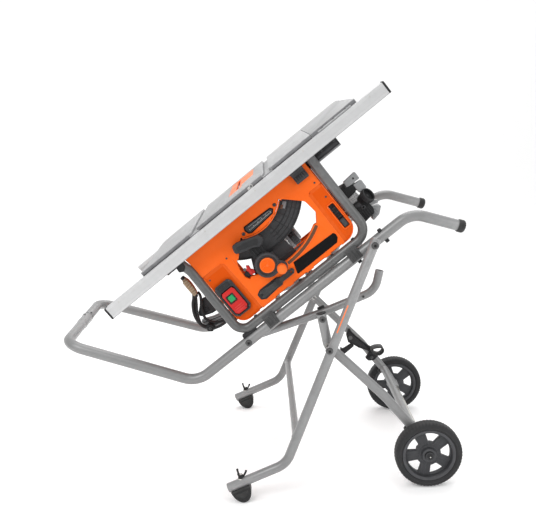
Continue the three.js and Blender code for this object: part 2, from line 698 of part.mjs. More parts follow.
// ---------- wheel legs ----------
function wheelLegFrame() {
  const lowerBend = [238.5, 172]; // x, z, where the cross bar sits
  const paths = SIDES.map(([side]) => bent(mirrored([
    at(beyond(CROSS_PIVOT, TOP_PIVOT, 16), 288), at(CROSS_PIVOT, 288), [155, 268, 276],
    at(lowerBend, 257), [HUB[0] - 4, 254, HUB[1] - 2],
  ], side), [26, 60, 60], 2));
  const bars = [crossRod(lowerBend, 256, 12), crossRod(HUB, 322, 8)];
  // the bores stop at the last bend, short of the axle
  const frame = weldedFrame(paths, LEG_R, bars, paths.map((path) => path.slice(0, -1)));
  // stud at the top pivot, and heads that hold the wheels on the axle
  const studs = SIDES.map(([side]) => cylinderY(TOP_PIVOT, side * 250, side * 308, 5.5, 8));
  const heads = SIDES.map(([side]) => cylinderY(HUB, side * 319, side * 325, 13, 12));
  const holes = SIDES.map(([side]) => cylinderY(CROSS_PIVOT, side * 265, side * 310, 5.2, 8));
  const pedalPin = cylinderY(PEDAL_PIVOT, 229, 264, 4.4, 8);
  return union(cut(union(frame, ...studs, ...heads), ...holes), pedalPin);
}
put(stand, "wheel_leg_frame", wheelLegFrame(), "frame");

// ---------- wheels ----------
// t is y from the wheel's middle plane, outwards positive
const wheelY = (side, t) => side * (WHEEL_OUT - WHEEL_W / 2 + t);
const wheelTurned = (profile, side) =>
  turnedY(profile.map(([r, t]) => [r, wheelY(side, t)]), HUB, 28);

function wheelRim(side) {
  const spokes = Array.from({ length: 5 }, (_, i) => {
    const from = directed(HUB, THREE.MathUtils.degToRad(i * 72 + 90));
    const outline = [from(20, -12), from(74, -20), from(74, 20), from(20, 12)];
    return prismY(outline, wheelY(side, -12), wheelY(side, 14));
  });
  const body = union(
    wheelTurned([[70, -19], [80, -19], [80, 19], [70, 19], [70, -19]], side),
    wheelTurned([[0, -18], [24, -18], [24, 20], [0, 20], [0, -18]], side),
    ...spokes,
  );
  return cut(body, cylinderY(HUB, -330, 330, 8.4, 16));
}
const TYRE = [
  [80.4, -18], [92, -22.5], [98, -22.5], [WHEEL_R, -16], [WHEEL_R, 16], [98, 22.5], [92, 22.5],
  [80.4, 18], [80.4, -18],
]; // radius, t
for (const [side, tag] of SIDES) {
  put(stand, "wheel_rim_" + tag, wheelRim(side), "black");
  put(stand, "wheel_tyre_" + tag, wheelTurned(TYRE, side), "rubber");
}

// ---------- links ----------
function linkFrame() {
  const y = 233;
  const paths = SIDES.map(([side]) => bent(mirrored([
    [LINK_PIVOT[0] - 12, y, LINK_PIVOT[1] - 4], at(TOP_PIVOT, y), [132, y, 593], [146, y, 655],
  ], side), [400, 60], 3));
  const holes = SIDES.map(([side]) => cylinderY(LINK_PIVOT, side * 215, side * 255, 5.2, 10));
  return cut(weldedFrame(paths, 12.5, [cylinderY([-150, 490.8], -y, y, 9, 10)]), ...holes);
}
put(stand, "link_frame", linkFrame(), "frame");
for (const [side, tag] of SIDES) {
  put(stand, "cross_bolt_" + tag, bolt(CROSS_PIVOT, side, 274, 342.4, 10, 10), "black");
}

// ---------- release pedal on the rear wheel leg ----------
// curved lever arm, a stop arm, and a slotted tread reaching inwards
function releasePedal() {
  const [y0, y1] = [232, 246];
  const lever = [
    [108, 343], [118, 325], [146, 298], [178, 270], [188, 274], [219, 276], [229, 258],
    [217, 240], [212, 229], [198, 214], [178, 213], [166, 224], [184, 244], [158, 257],
    [127, 272], [104, 286], [97, 315],
  ];
  const stopArm = [[115, 281], [127, 271], [88, 239], [75, 250], [75, 270], [84, 262]];
  const tread = [[196, 273], [225, 273], [227, 258], [200, 258]];
  const slot = [[200, 267], [218, 268], [218, 263], [203, 262]];
  const body = union(
    prismY(lever, y0, y1),
    prismY(stopArm, y0 + 2, y1 - 2),
    prismY(tread, 196, y0 + 2),
  );
  return cut(body, prismY(slot, 190, 260), cylinderY(PEDAL_PIVOT, 225, 260, 5.3, 10));
}
put(stand, "release_pedal", releasePedal(), "black");

export default root;
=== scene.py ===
"""Jobsite table saw on a folding wheeled stand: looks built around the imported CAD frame.

Lengths are millimetres in one of two local spaces, both with y to the back (front is -y):
SAW has x along the main tubes to the right, z square to the table and its origin on the link
pivot. STAND has upright axes, shifted so that its numbers match the CAD source.
"""
import bpy
import bmesh
import json
from math import atan2, copysign, cos, degrees, hypot, pi, radians, sin, tan
from mathutils import Matrix, Vector


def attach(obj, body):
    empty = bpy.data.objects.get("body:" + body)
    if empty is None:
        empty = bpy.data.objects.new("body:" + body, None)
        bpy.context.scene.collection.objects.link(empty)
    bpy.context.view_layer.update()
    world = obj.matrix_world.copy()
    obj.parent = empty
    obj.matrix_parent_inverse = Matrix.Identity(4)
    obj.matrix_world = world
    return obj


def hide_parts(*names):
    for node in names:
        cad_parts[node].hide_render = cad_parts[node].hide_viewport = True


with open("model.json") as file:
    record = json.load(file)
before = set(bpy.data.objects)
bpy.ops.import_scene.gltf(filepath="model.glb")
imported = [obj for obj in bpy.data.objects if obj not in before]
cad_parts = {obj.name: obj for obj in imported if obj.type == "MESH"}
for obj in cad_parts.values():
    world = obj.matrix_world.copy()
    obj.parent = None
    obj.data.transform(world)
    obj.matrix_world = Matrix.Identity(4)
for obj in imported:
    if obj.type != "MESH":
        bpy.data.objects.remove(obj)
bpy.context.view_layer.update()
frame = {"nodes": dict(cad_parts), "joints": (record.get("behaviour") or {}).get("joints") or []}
JOINTS = {joint["name"]: joint for joint in frame["joints"]}

# ------------------------------------------------------------------ spaces and shared places
# pivots in STAND (x, z)
LINK_PIVOT = (-245.2, 461.3)
LEG_PIVOT = (119.8, 744.1)
CROSS_PIVOT = (-14.1, 447.3)
TOP_PIVOT = (-29.75, 530.0)
HUB = (281.6, 101.6)

MM = Matrix.Scale(0.001, 4)
ALONG = Vector(JOINTS["extension_slide"]["axis"]).normalized()
SQUARE = Vector(JOINTS["blade_lift"]["axis"]).normalized()
ORIGIN = Vector(JOINTS["link_fold"]["pos_m"])
SAW = Matrix((
    (ALONG.x, 0, SQUARE.x, ORIGIN.x),
    (ALONG.y, 1, SQUARE.y, 0),
    (ALONG.z, 0, SQUARE.z, ORIGIN.z),
    (0, 0, 0, 1),
)) @ MM
STAND_X = JOINTS["leg_fold"]["pos_m"][0] - LEG_PIVOT[0] / 1000
STAND = Matrix.Translation((STAND_X, 0, 0)) @ MM
TILT = atan2(ALONG.z, ALONG.x)

# places in SAW
TUBE_Y = 268            # main tubes and cage, front and rear
TILT_CENTRE = (243.0, 357.0)
SHAFT = (191.0, 148.0)  # crank shaft (x, z)
KNOB = (220.0, 119.0)   # crank knob (x, z)
ARBOR = (20.0, 227.0)   # blade axis (y, z)
MOTOR = (70.0, 115.0)   # motor axis (y, z)

SIDES = ((-1, "front"), (1, "rear"))
TO_FRONT, TO_BACK = (0, -1, 0), (0, 1, 0)
TO_LEFT, TO_RIGHT = (-1, 0, 0), (1, 0, 0)
UP, DOWN = (0, 0, 1), (0, 0, -1)
CLOSED = (False, False)
ON_AXIS = 0.01          # radius at which a solid of revolution is shut


def saw_xz(x, z):
    """STAND (x, z) in SAW."""
    c, s = cos(TILT), sin(TILT)
    x, z = x - LINK_PIVOT[0], z - LINK_PIVOT[1]
    return (c * x + s * z, -s * x + c * z)


def at(xz, y=0):
    return (xz[0], y, xz[1])


def across(points, side):
    """Points of the rear half, taken to the given side."""
    return [(x, side * y, z) for x, y, z in points]


# ------------------------------------------------------------------ outlines
def polar(centre, radius, angle):
    """Point at an angle in degrees from the first axis towards the second."""
    angle = radians(angle)
    return (centre[0] + radius * cos(angle), centre[1] + radius * sin(angle))


def polars(centre, radius, angles):
    return [polar(centre, radius, angle) for angle in angles]


def arc(cx, cz, radius, first, last, steps):
    """Points at a radius, angles in degrees from straight down towards +x."""
    angles = [radians(first + (last - first) * i / steps) for i in range(steps + 1)]
    return [(cx + radius * sin(a), cz - radius * cos(a)) for a in angles]


def tilt_arc(radius, first, last, steps):
    return arc(*TILT_CENTRE, radius, first, last, steps)


def circle(centre, radius, sides):
    angles = [2 * pi * i / sides for i in range(sides)]
    return [(centre[0] + radius * cos(a), centre[1] + radius * sin(a)) for a in angles]


def fillet(corner, before, after, radius, limit):
    """Centre of a rounded corner and the spokes to its two ends; limit is the share of a side."""
    room = limit * min(before.length, after.length)
    before, after = before.normalized(), after.normalized()
    half = before.angle(after) / 2
    trim = min(radius / tan(half), room)
    radius = trim * tan(half)
    centre = corner + (before + after).normalized() * (radius / sin(half))
    return centre, corner + before * trim - centre, corner + after * trim - centre


def fillet_points(centre, start, end, steps):
    angle = start.angle(end)
    points = []
    for k in range(steps + 1):
        f = k / steps
        spoke = (start * sin((1 - f) * angle) + end * sin(f * angle)) / sin(angle)
        points.append(centre + spoke)
    return points


def soft(points, radius, steps=4):
    """Outline with rounded corners; radius is a number, or one per corner."""
    out = []
    for i, point in enumerate(points):
        corner_radius = radius[i] if isinstance(radius, list) else radius
        corner = Vector(point)
        before = Vector(points[i - 1]) - corner
        after = Vector(points[(i + 1) % len(points)]) - corner
        if corner_radius <= 0 or not 0.05 <= before.angle(after, 0) <= 3.0:
            out.append(tuple(corner))
            continue
        rounding = fillet(corner, before, after, corner_radius, 0.48)
        out += [tuple(p) for p in fillet_points(*rounding, steps)]
    return out


def rect(a0, a1, b0, b1, radius=0, steps=4):
    return soft([(a0, b0), (a1, b0), (a1, b1), (a0, b1)], radius, steps)


def bend(points, radii, step):
    """Polyline with its inner corners rounded, one point per step degrees."""
    points = [Vector(p) for p in points]
    out = [points[0]]
    for i, radius in enumerate(radii, 1):
        corner = points[i]
        before, after = points[i - 1] - corner, points[i + 1] - corner
        centre, start, end = fillet(corner, before, after, radius, 0.49)
        steps = max(2, int(degrees(start.angle(end)) / step) + 1)
        out += fillet_points(centre, start, end, steps)
    return out + [points[-1]]


def catmull(points, per, closed=False):
    """Smooth curve through the points, per steps on each span."""
    pts = [Vector(p) for p in points]
    count = len(pts)
    out = []
    for i in range(count if closed else count - 1):
        p0 = pts[(i - 1) % count] if closed or i > 0 else pts[0] * 2 - pts[1]
        p1, p2 = pts[i], pts[(i + 1) % count]
        p3 = pts[(i + 2) % count] if closed or i + 2 < count else pts[-1] * 2 - pts[-2]
        for k in range(per):
            t = k / per
            out.append(0.5 * ((2 * p1) + (p2 - p0) * t + (2 * p0 - 5 * p1 + 4 * p2 - p3) * t * t
                              + (3 * p1 - p0 - 3 * p2 + p3) * t * t * t))
    if not closed:
        out.append(pts[-1])
    return out


# ------------------------------------------------------------------ meshes
def place(name, data):
    shape = bpy.data.objects.new(name, data)
    bpy.context.scene.collection.objects.link(shape)
    return shape


def mesh_of(bm, recalc=True):
    mesh = bpy.data.meshes.new("m")
    if recalc:
        bmesh.ops.recalc_face_normals(bm, faces=bm.faces)
    bm.to_mesh(mesh)
    bm.free()
    return mesh


def slab(outline, start, end, plane="Y", holes=(), bev=0.7, seg=2):
    """Outline with holes, swept from start to end with softened edges.

    Outline points are (x, z) for plane Y, (y, z) for X and (x, y) for Z.
    """
    curve = bpy.data.curves.new("c", "CURVE")
    curve.dimensions = "2D"
    curve.fill_mode = "BOTH"
    half = abs(end - start) / 2
    bev = min(bev, half * 0.9)
    curve.extrude = half - bev
    curve.bevel_depth = bev
    curve.bevel_resolution = seg - 1
    curve.offset = -bev
    for points in [outline, *holes]:
        spline = curve.splines.new("POLY")
        spline.points.add(len(points) - 1)
        for k, (a, b) in enumerate(points):
            spline.points[k].co = (a, b, 0, 1)
        spline.use_cyclic_u = True
    shape = place("c", curve)
    depsgraph = bpy.context.evaluated_depsgraph_get()
    mesh = bpy.data.meshes.new_from_object(shape.evaluated_get(depsgraph))
    bpy.data.objects.remove(shape)
    bpy.data.curves.remove(curve)
    mid = (start + end) / 2
    turn = {
        "Y": Matrix(((1, 0, 0, 0), (0, 0, -1, mid), (0, 1, 0, 0), (0, 0, 0, 1))),
        "X": Matrix(((0, 0, 1, mid), (1, 0, 0, 0), (0, 1, 0, 0), (0, 0, 0, 1))),
        "Z": Matrix.Translation((0, 0, mid)),
    }[plane]
    bm = bmesh.new()
    bm.from_mesh(mesh)
    bmesh.ops.remove_doubles(bm, verts=bm.verts, dist=0.01)
    bpy.data.meshes.remove(mesh)
    bmesh.ops.transform(bm, matrix=turn, verts=bm.verts)
    return mesh_of(bm)


def strap(path, width, y0, y1, bev, closed=False):
    """Flat band of even width along an (x, z) path; a closed path runs anticlockwise."""
    points = [Vector(p) for p in path]
    last = len(points) - 1
    left, right = [], []
    for i, point in enumerate(points):
        before = points[i - 1] if i or closed else point
        after = points[(i + 1) % len(points)] if i < last or closed else point
        tangent = (after - before).normalized()
        normal = Vector((-tangent.y, tangent.x))
        left.append(tuple(point + normal * width / 2))
        right.append(tuple(point - normal * width / 2))
    if closed:
        return slab(right, y0, y1, holes=[left], bev=bev)
    return slab(left + right[::-1], y0, y1, bev=bev)


def block(x0, x1, y0, y1, z0, z1, bev=1.0, seg=2):
    centre = ((x0 + x1) / 2, (y0 + y1) / 2, (z0 + z1) / 2)
    size = (abs(x1 - x0), abs(y1 - y0), abs(z1 - z0))
    bm = bmesh.new()
    bmesh.ops.create_cube(bm, size=1)
    matrix = Matrix.Translation(centre) @ Matrix.Diagonal((*size, 1))
    bmesh.ops.transform(bm, matrix=matrix, verts=bm.verts)
    if bev > 0:
        bmesh.ops.bevel(bm, geom=bm.edges[:], offset=min(bev, 0.45 * min(size)), segments=seg,
                        profile=0.5, affect="EDGES")
    return mesh_of(bm)


def spun(box, angles, placing, axis="X"):
    """Copies of one block, turned by each angle in degrees about the axis of a placing matrix."""
    meshes = []
    for angle in angles:
        mesh = block(*box)
        mesh.transform(placing @ Matrix.Rotation(radians(angle), 4, axis))
        meshes.append(mesh)
    return meshes


def skin(sections, closed):
    """Faces over rings of equal length, with end caps unless closed."""
    bm = bmesh.new()
    rings = [[bm.verts.new(p) for p in section] for section in sections]
    if closed == "repeated":
        rings = rings[:-1]
    count = len(rings[0])
    for a, b in list(zip(rings, rings[1:])) + ([(rings[-1], rings[0])] if closed else []):
        for i in range(count):
            bm.faces.new((a[i], a[(i + 1) % count], b[(i + 1) % count], b[i]))
    if not closed:
        bm.faces.new(rings[0][::-1])
        bm.faces.new(rings[-1])
    return bm


def loft(sections, closed=False):
    bm = skin(sections, closed)
    bmesh.ops.remove_doubles(bm, verts=bm.verts, dist=1e-4)
    return mesh_of(bm)


def upright(axis):
    """Rotation that takes z to the axis."""
    return Vector(UP).rotation_difference(Vector(axis).normalized())


def level(centre, spin, radius, height, factors):
    """Ring of points at one height, each radius scaled by its factor."""
    ring = []
    for i, factor in enumerate(factors):
        angle = 2 * pi * i / len(factors)
        out = radius * factor
        point = Vector((out * cos(angle), out * sin(angle), height))
        ring.append(Vector(centre) + spin @ point)
    return ring


def turned(profile, centre, axis, sides):
    """Body turned from (radius, height) pairs; one that ends where it starts is a closed ring."""
    spin = upright(axis)
    shut = "repeated" if profile[0] == profile[-1] else False
    bm = skin([level(centre, spin, r, h, [1] * sides) for r, h in profile], shut)
    bmesh.ops.remove_doubles(bm, verts=bm.verts, dist=0.01)
    bmesh.ops.dissolve_degenerate(bm, dist=0.002, edges=bm.edges)
    loose = [v for v in bm.verts if not v.link_faces]
    if loose:
        bmesh.ops.delete(bm, geom=loose, context="VERTS")
    return mesh_of(bm)


def solid(profile, centre, axis, sides):
    """Turned body whose profile is brought to the axis at both ends."""
    if profile[0][0] > ON_AXIS:
        profile = [(ON_AXIS, profile[0][1])] + profile
    if profile[-1][0] > ON_AXIS:
        profile = profile + [(ON_AXIS, profile[-1][1])]
    return turned(profile, centre, axis, sides)


def hollow(profile, centre, axis, sides):
    """Turned ring whose profile closes on itself."""
    return turned(profile + profile[:1], centre, axis, sides)


def washer(bore, radius, thick, centre, axis, sides=28):
    profile = [(bore, 0), (radius, 0), (radius, thick), (bore, thick)]
    return hollow(profile, centre, axis, sides)


def tube(path, radius, sides=28, depth=22, ends=(True, True)):
    """Tube along a dense path. End True = a bored mouth of this depth, False = softly closed."""
    points = [Vector(p) for p in path]
    last = len(points) - 1
    tangents = []
    for i, point in enumerate(points):
        before = (point - points[i - 1]).normalized() if i else None
        after = (points[i + 1] - point).normalized() if i < last else None
        tangents.append(((before or after) + (after or before)).normalized())
    guide = Vector((0, 1, 0)) if abs(tangents[0].y) < 0.9 else Vector((1, 0, 0))
    normal = (guide - tangents[0] * guide.dot(tangents[0])).normalized()
    frames = []
    for i, (point, tangent) in enumerate(zip(points, tangents)):
        if i:
            normal = tangents[i - 1].rotation_difference(tangent) @ normal
            normal = (normal - tangent * normal.dot(tangent)).normalized()
        frames.append((point, tangent, normal.copy(), tangent.cross(normal)))

    edge = min(1.0, radius * 0.12)
    bore = radius - 2.0

    def mouth(is_open):
        """(inset, radius) stations from the middle of the end face out to the wall."""
        if is_open:
            face = [(depth, bore * 0.02), (depth, bore), (edge, bore),
                    (0, bore + edge * 0.6), (0, radius - edge * 0.6)]
        else:
            face = [(0, 0.02), (0, radius - 2.2 * edge), (edge * 0.6, radius - edge * 0.7)]
        return face + [(edge * 1.6, radius)]

    stations = [(0, inset, size) for inset, size in mouth(ends[0])]
    stations += [(i, 0, radius) for i in range(1, last)]
    stations += [(last, -inset, size) for inset, size in reversed(mouth(ends[1]))]
    sections = []
    for i, inset, size in stations:
        point, tangent, normal, binormal = frames[i]
        centre = point + tangent * inset
        angles = [2 * pi * k / sides for k in range(sides)]
        sections.append([centre + normal * (size * cos(a)) + binormal * (size * sin(a))
                         for a in angles])
    return loft(sections)


def cross_tube(x, z, reach, inner, radius, sides):
    """Closed tube from front to rear."""
    path = [(x, y, z) for y in (-reach, -inner, 0, inner, reach)]
    return tube(path, radius, sides, ends=CLOSED)


def screw(centre, axis, r, h, under=2.0):
    """Domed screw head with a hexagon socket, standing on centre; under = length sunk below."""
    spin = upright(axis)
    dome = [(ON_AXIS, -under), (r * 0.6, -under), (r * 0.6, 0), (r, 0), (r, h * 0.35),
            (r * 0.93, h * 0.65), (r * 0.75, h * 0.92), (r * 0.52, h), (r * 0.48, h * 0.98)]
    socket = [(r * 0.44, h * 0.94), (r * 0.42, h * 0.35), (0.02, h * 0.33)]
    hexagon = [cos(pi / 6) / cos(radians(15 * i % 60 - 30)) for i in range(24)]
    return loft([level(centre, spin, a, b, [1] * 24) for a, b in dome]
                + [level(centre, spin, a, b, hexagon) for a, b in socket])


def screws(centres, axis, r, h, under=2.0):
    return [screw(centre, axis, r, h, under) for centre in centres]


def hexbolt(centre, axis, r, h, sides=28):
    """Hexagon head on a washer."""
    collar = solid([(r * 0.5, -2), (r * 0.5, 0), (r * 1.25, 0), (r * 1.27, 0.4), (r * 1.25, 1.1),
                    (r * 1.1, 1.3)], centre, axis, sides)
    head = [(0.02, 1.3), (r * 0.98, 1.3), (r, 1.5), (r, h * 0.82), (r * 0.9, h), (0.02, h)]
    head = loft([level(centre, upright(axis), a, b, [1] * 6) for a, b in head])
    bm = bmesh.new()
    for mesh in (collar, head):
        bm.from_mesh(mesh)
        bpy.data.meshes.remove(mesh)
    return mesh_of(bm, recalc=False)


def carve(mesh, *cutters):
    """Mesh with the cutters taken out of it."""
    body, *tools = [place("carving", item) for item in (mesh, *cutters)]
    for tool in tools:
        cut = body.modifiers.new("cut", "BOOLEAN")
        cut.operation = "DIFFERENCE"
        cut.solver = "EXACT"
        cut.object = tool
    depsgraph = bpy.context.evaluated_depsgraph_get()
    carved = bpy.data.meshes.new_from_object(body.evaluated_get(depsgraph))
    for shape in (body, *tools):
        bpy.data.objects.remove(shape)
    for item in (mesh, *cutters):
        bpy.data.meshes.remove(item)
    carved.materials.clear()
    return carved


class Piece:
    """Shells with their own materials, joined into one mesh that rides on a CAD body."""

    def __init__(self, name, replaced, slot, body="saw_frame", space=SAW):
        self.name, self.replaced, self.slot = name, replaced, slot
        self.body, self.space = body, space
        self.shells = bmesh.new()
        self.finishes = []

    def add(self, finish, *meshes):
        if finish not in self.finishes:
            self.finishes.append(finish)
        index = self.finishes.index(finish)
        for mesh in meshes:
            mesh.polygons.foreach_set("material_index", [index] * len(mesh.polygons))
            self.shells.from_mesh(mesh)
            bpy.data.meshes.remove(mesh)

    def done(self, sharp=34):
        """Make the object; edges over sharp degrees stay crisp."""
        mesh = bpy.data.meshes.new(self.name)
        self.shells.to_mesh(mesh)
        self.shells.free()
        mesh.transform(self.space)
        for finish in self.finishes:
            mesh.materials.append(MATERIALS[finish])
        mesh.polygons.foreach_set("use_smooth", [True] * len(mesh.polygons))
        mesh.set_sharp_from_angle(angle=radians(sharp))
        shape = place(self.name, mesh)
        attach(shape, self.body)
        if self.replaced:
            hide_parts(self.replaced)


# ------------------------------------------------------------------ materials
class Shader:
    """Node tree of a new material; the helpers return the output socket of the node they add."""

    def __init__(self, name):
        self.material = bpy.data.materials.new(name)
        self.material.use_nodes = True
        self.tree = self.material.node_tree
        self.tree.nodes.clear()
        output = self.node("OutputMaterial")
        self.surface = self.node("BsdfPrincipled")
        self.feed(output, {"Surface": self.surface.outputs["BSDF"]})

    def feed(self, node, inputs):
        """Link sockets and set plain values."""
        for key, value in inputs.items():
            if isinstance(value, bpy.types.NodeSocket):
                self.tree.links.new(value, node.inputs[key])
            else:
                node.inputs[key].default_value = value

    def node(self, kind, inputs=None, **settings):
        node = self.tree.nodes.new("ShaderNode" + kind)
        for key, value in settings.items():
            setattr(node, key, value)
        self.feed(node, inputs or {})
        return node

    def mapping(self, source, **inputs):
        return self.node("Mapping", {"Vector": source, **inputs}).outputs["Vector"]

    def coords(self, tilt=False, stretch=None):
        """Object coordinates, turned into line with the saw and stretched along it if asked."""
        source = self.node("TexCoord").outputs["Object"]
        if tilt:
            source = self.mapping(source, Rotation=(0, TILT, 0))
        if stretch:
            source = self.mapping(source, Scale=stretch)
        return source

    def noise(self, source, scale, detail, rough):
        inputs = {"Scale": scale, "Detail": detail, "Roughness": rough, "Vector": source}
        return self.node("TexNoise", inputs).outputs["Fac"]

    def ramp(self, source, stops):
        node = self.node("ValToRGB", {"Fac": source})
        elements = node.color_ramp.elements
        for element, (position, color) in ((elements[0], stops[0]), (elements[1], stops[-1])):
            element.position = position
            element.color = (*color, 1)
        for position, color in stops[1:-1]:
            elements.new(position).color = (*color, 1)
        return node.outputs["Color"]

    def math(self, operation, *values, clamp=False):
        node = self.node("Math", dict(enumerate(values)), operation=operation, use_clamp=clamp)
        return node.outputs["Value"]

    def blend(self, factor, under, over):
        """Colour over laid on the socket under."""
        inputs = {0: factor, 6: under, 7: (*over, 1)}
        return self.node("Mix", inputs, data_type="RGBA", blend_type="MIX").outputs[2]

    def bump(self, height, strength, distance, normal=None):
        inputs = {"Strength": strength, "Distance": distance, "Height": height}
        if normal:
            inputs["Normal"] = normal
        return self.node("Bump", inputs).outputs["Normal"]


BLACK, WHITE = (0, 0, 0), (1, 1, 1)
ROUGH_VARY = 0.12  # unevenness of the gloss


def material(name, base, *, rough, grain, depth, vary, metal=0.0, coat=0.0, mottle=14,
             wear=None, worn=0.5, corner_shade=0.35, tilt=False, stretch=None, scratch=0.0,
             spec=0.35, flake=0.0, sheen=0.0):
    """Layered finish on a base colour.

    grain, depth: scale and height of the fine bump; vary, mottle: strength and scale of the
    colour mottling; wear, worn: colour and amount of rubbed edges; corner_shade: painted shade
    in hollows and corners; scratch: hairlines; flake: bright specks; tilt, stretch: texture laid
    along the saw.
    """
    shader = Shader(name)
    fine_coords = shader.coords(tilt, stretch)
    coords = shader.coords(tilt) if tilt else fine_coords
    big = shader.noise(coords, scale=mottle, detail=4, rough=0.6)
    fine = shader.noise(fine_coords, scale=grain, detail=3, rough=0.6)
    low = tuple(max(0, c * (1 - vary)) for c in base)
    high = tuple(min(1, c * (1 + vary * 0.8)) for c in base)
    color = shader.ramp(big, [(0.3, low), (0.52, base), (0.75, high)])
    if flake:
        cells = shader.node("TexVoronoi", {"Scale": 2600.0, "Vector": coords}).outputs["Color"]
        specks = shader.ramp(cells, [(0.0, BLACK), (0.78, BLACK), (1.0, WHITE)])
        bright = tuple(min(1, c * 1.6 + 0.05) for c in base)
        color = shader.blend(shader.math("MULTIPLY", specks, flake), color, bright)
    if scratch:
        drawn = shader.mapping(coords, Rotation=(0.3, 0.5, 0.9), Scale=(1, 34, 34))
        streaks = shader.noise(drawn, scale=26, detail=2, rough=0.5)
        lines = shader.ramp(streaks, [(0.0, BLACK), (0.66, BLACK), (0.72, WHITE)])
        bright = tuple(min(1, c * 1.35 + 0.04) for c in base)
        color = shader.blend(shader.math("MULTIPLY", lines, scratch), color, bright)
    pointiness = shader.node("NewGeometry").outputs["Pointiness"]
    if wear is not None:
        edges = shader.ramp(pointiness, [(0.505, BLACK), (0.56, WHITE)])
        patches = shader.noise(coords, scale=55, detail=4, rough=0.7)
        amount = shader.math("MULTIPLY", edges, patches)
        amount = shader.math("MULTIPLY", amount, worn * 1.6, clamp=True)
        color = shader.blend(amount, color, wear)
    # painted shade: hollows and corners are darkened towards a third of the base colour
    corners = shader.ramp(pointiness, [(0.42, WHITE), (0.497, BLACK)])
    amount = shader.math("MULTIPLY", corners, corner_shade, clamp=True)
    color = shader.blend(amount, color, tuple(c * 0.35 for c in base))
    gloss = shader.math("MULTIPLY_ADD", big, ROUGH_VARY * 2, rough - ROUGH_VARY, clamp=True)
    gloss = shader.math("MULTIPLY_ADD", fine, ROUGH_VARY * 0.6, gloss, clamp=True)
    normal = shader.bump(fine, strength=min(1.0, depth * 2.2), distance=0.0006)
    normal = shader.bump(big, strength=0.08, distance=0.004, normal=normal)
    shader.feed(shader.surface, {
        "Base Color": color, "Roughness": gloss, "Metallic": metal, "Specular IOR Level": spec,
        "Sheen Weight": sheen, "Normal": normal})
    if coat:
        shader.feed(shader.surface, {"Coat Weight": coat, "Coat Roughness": 0.18})
    return shader.material


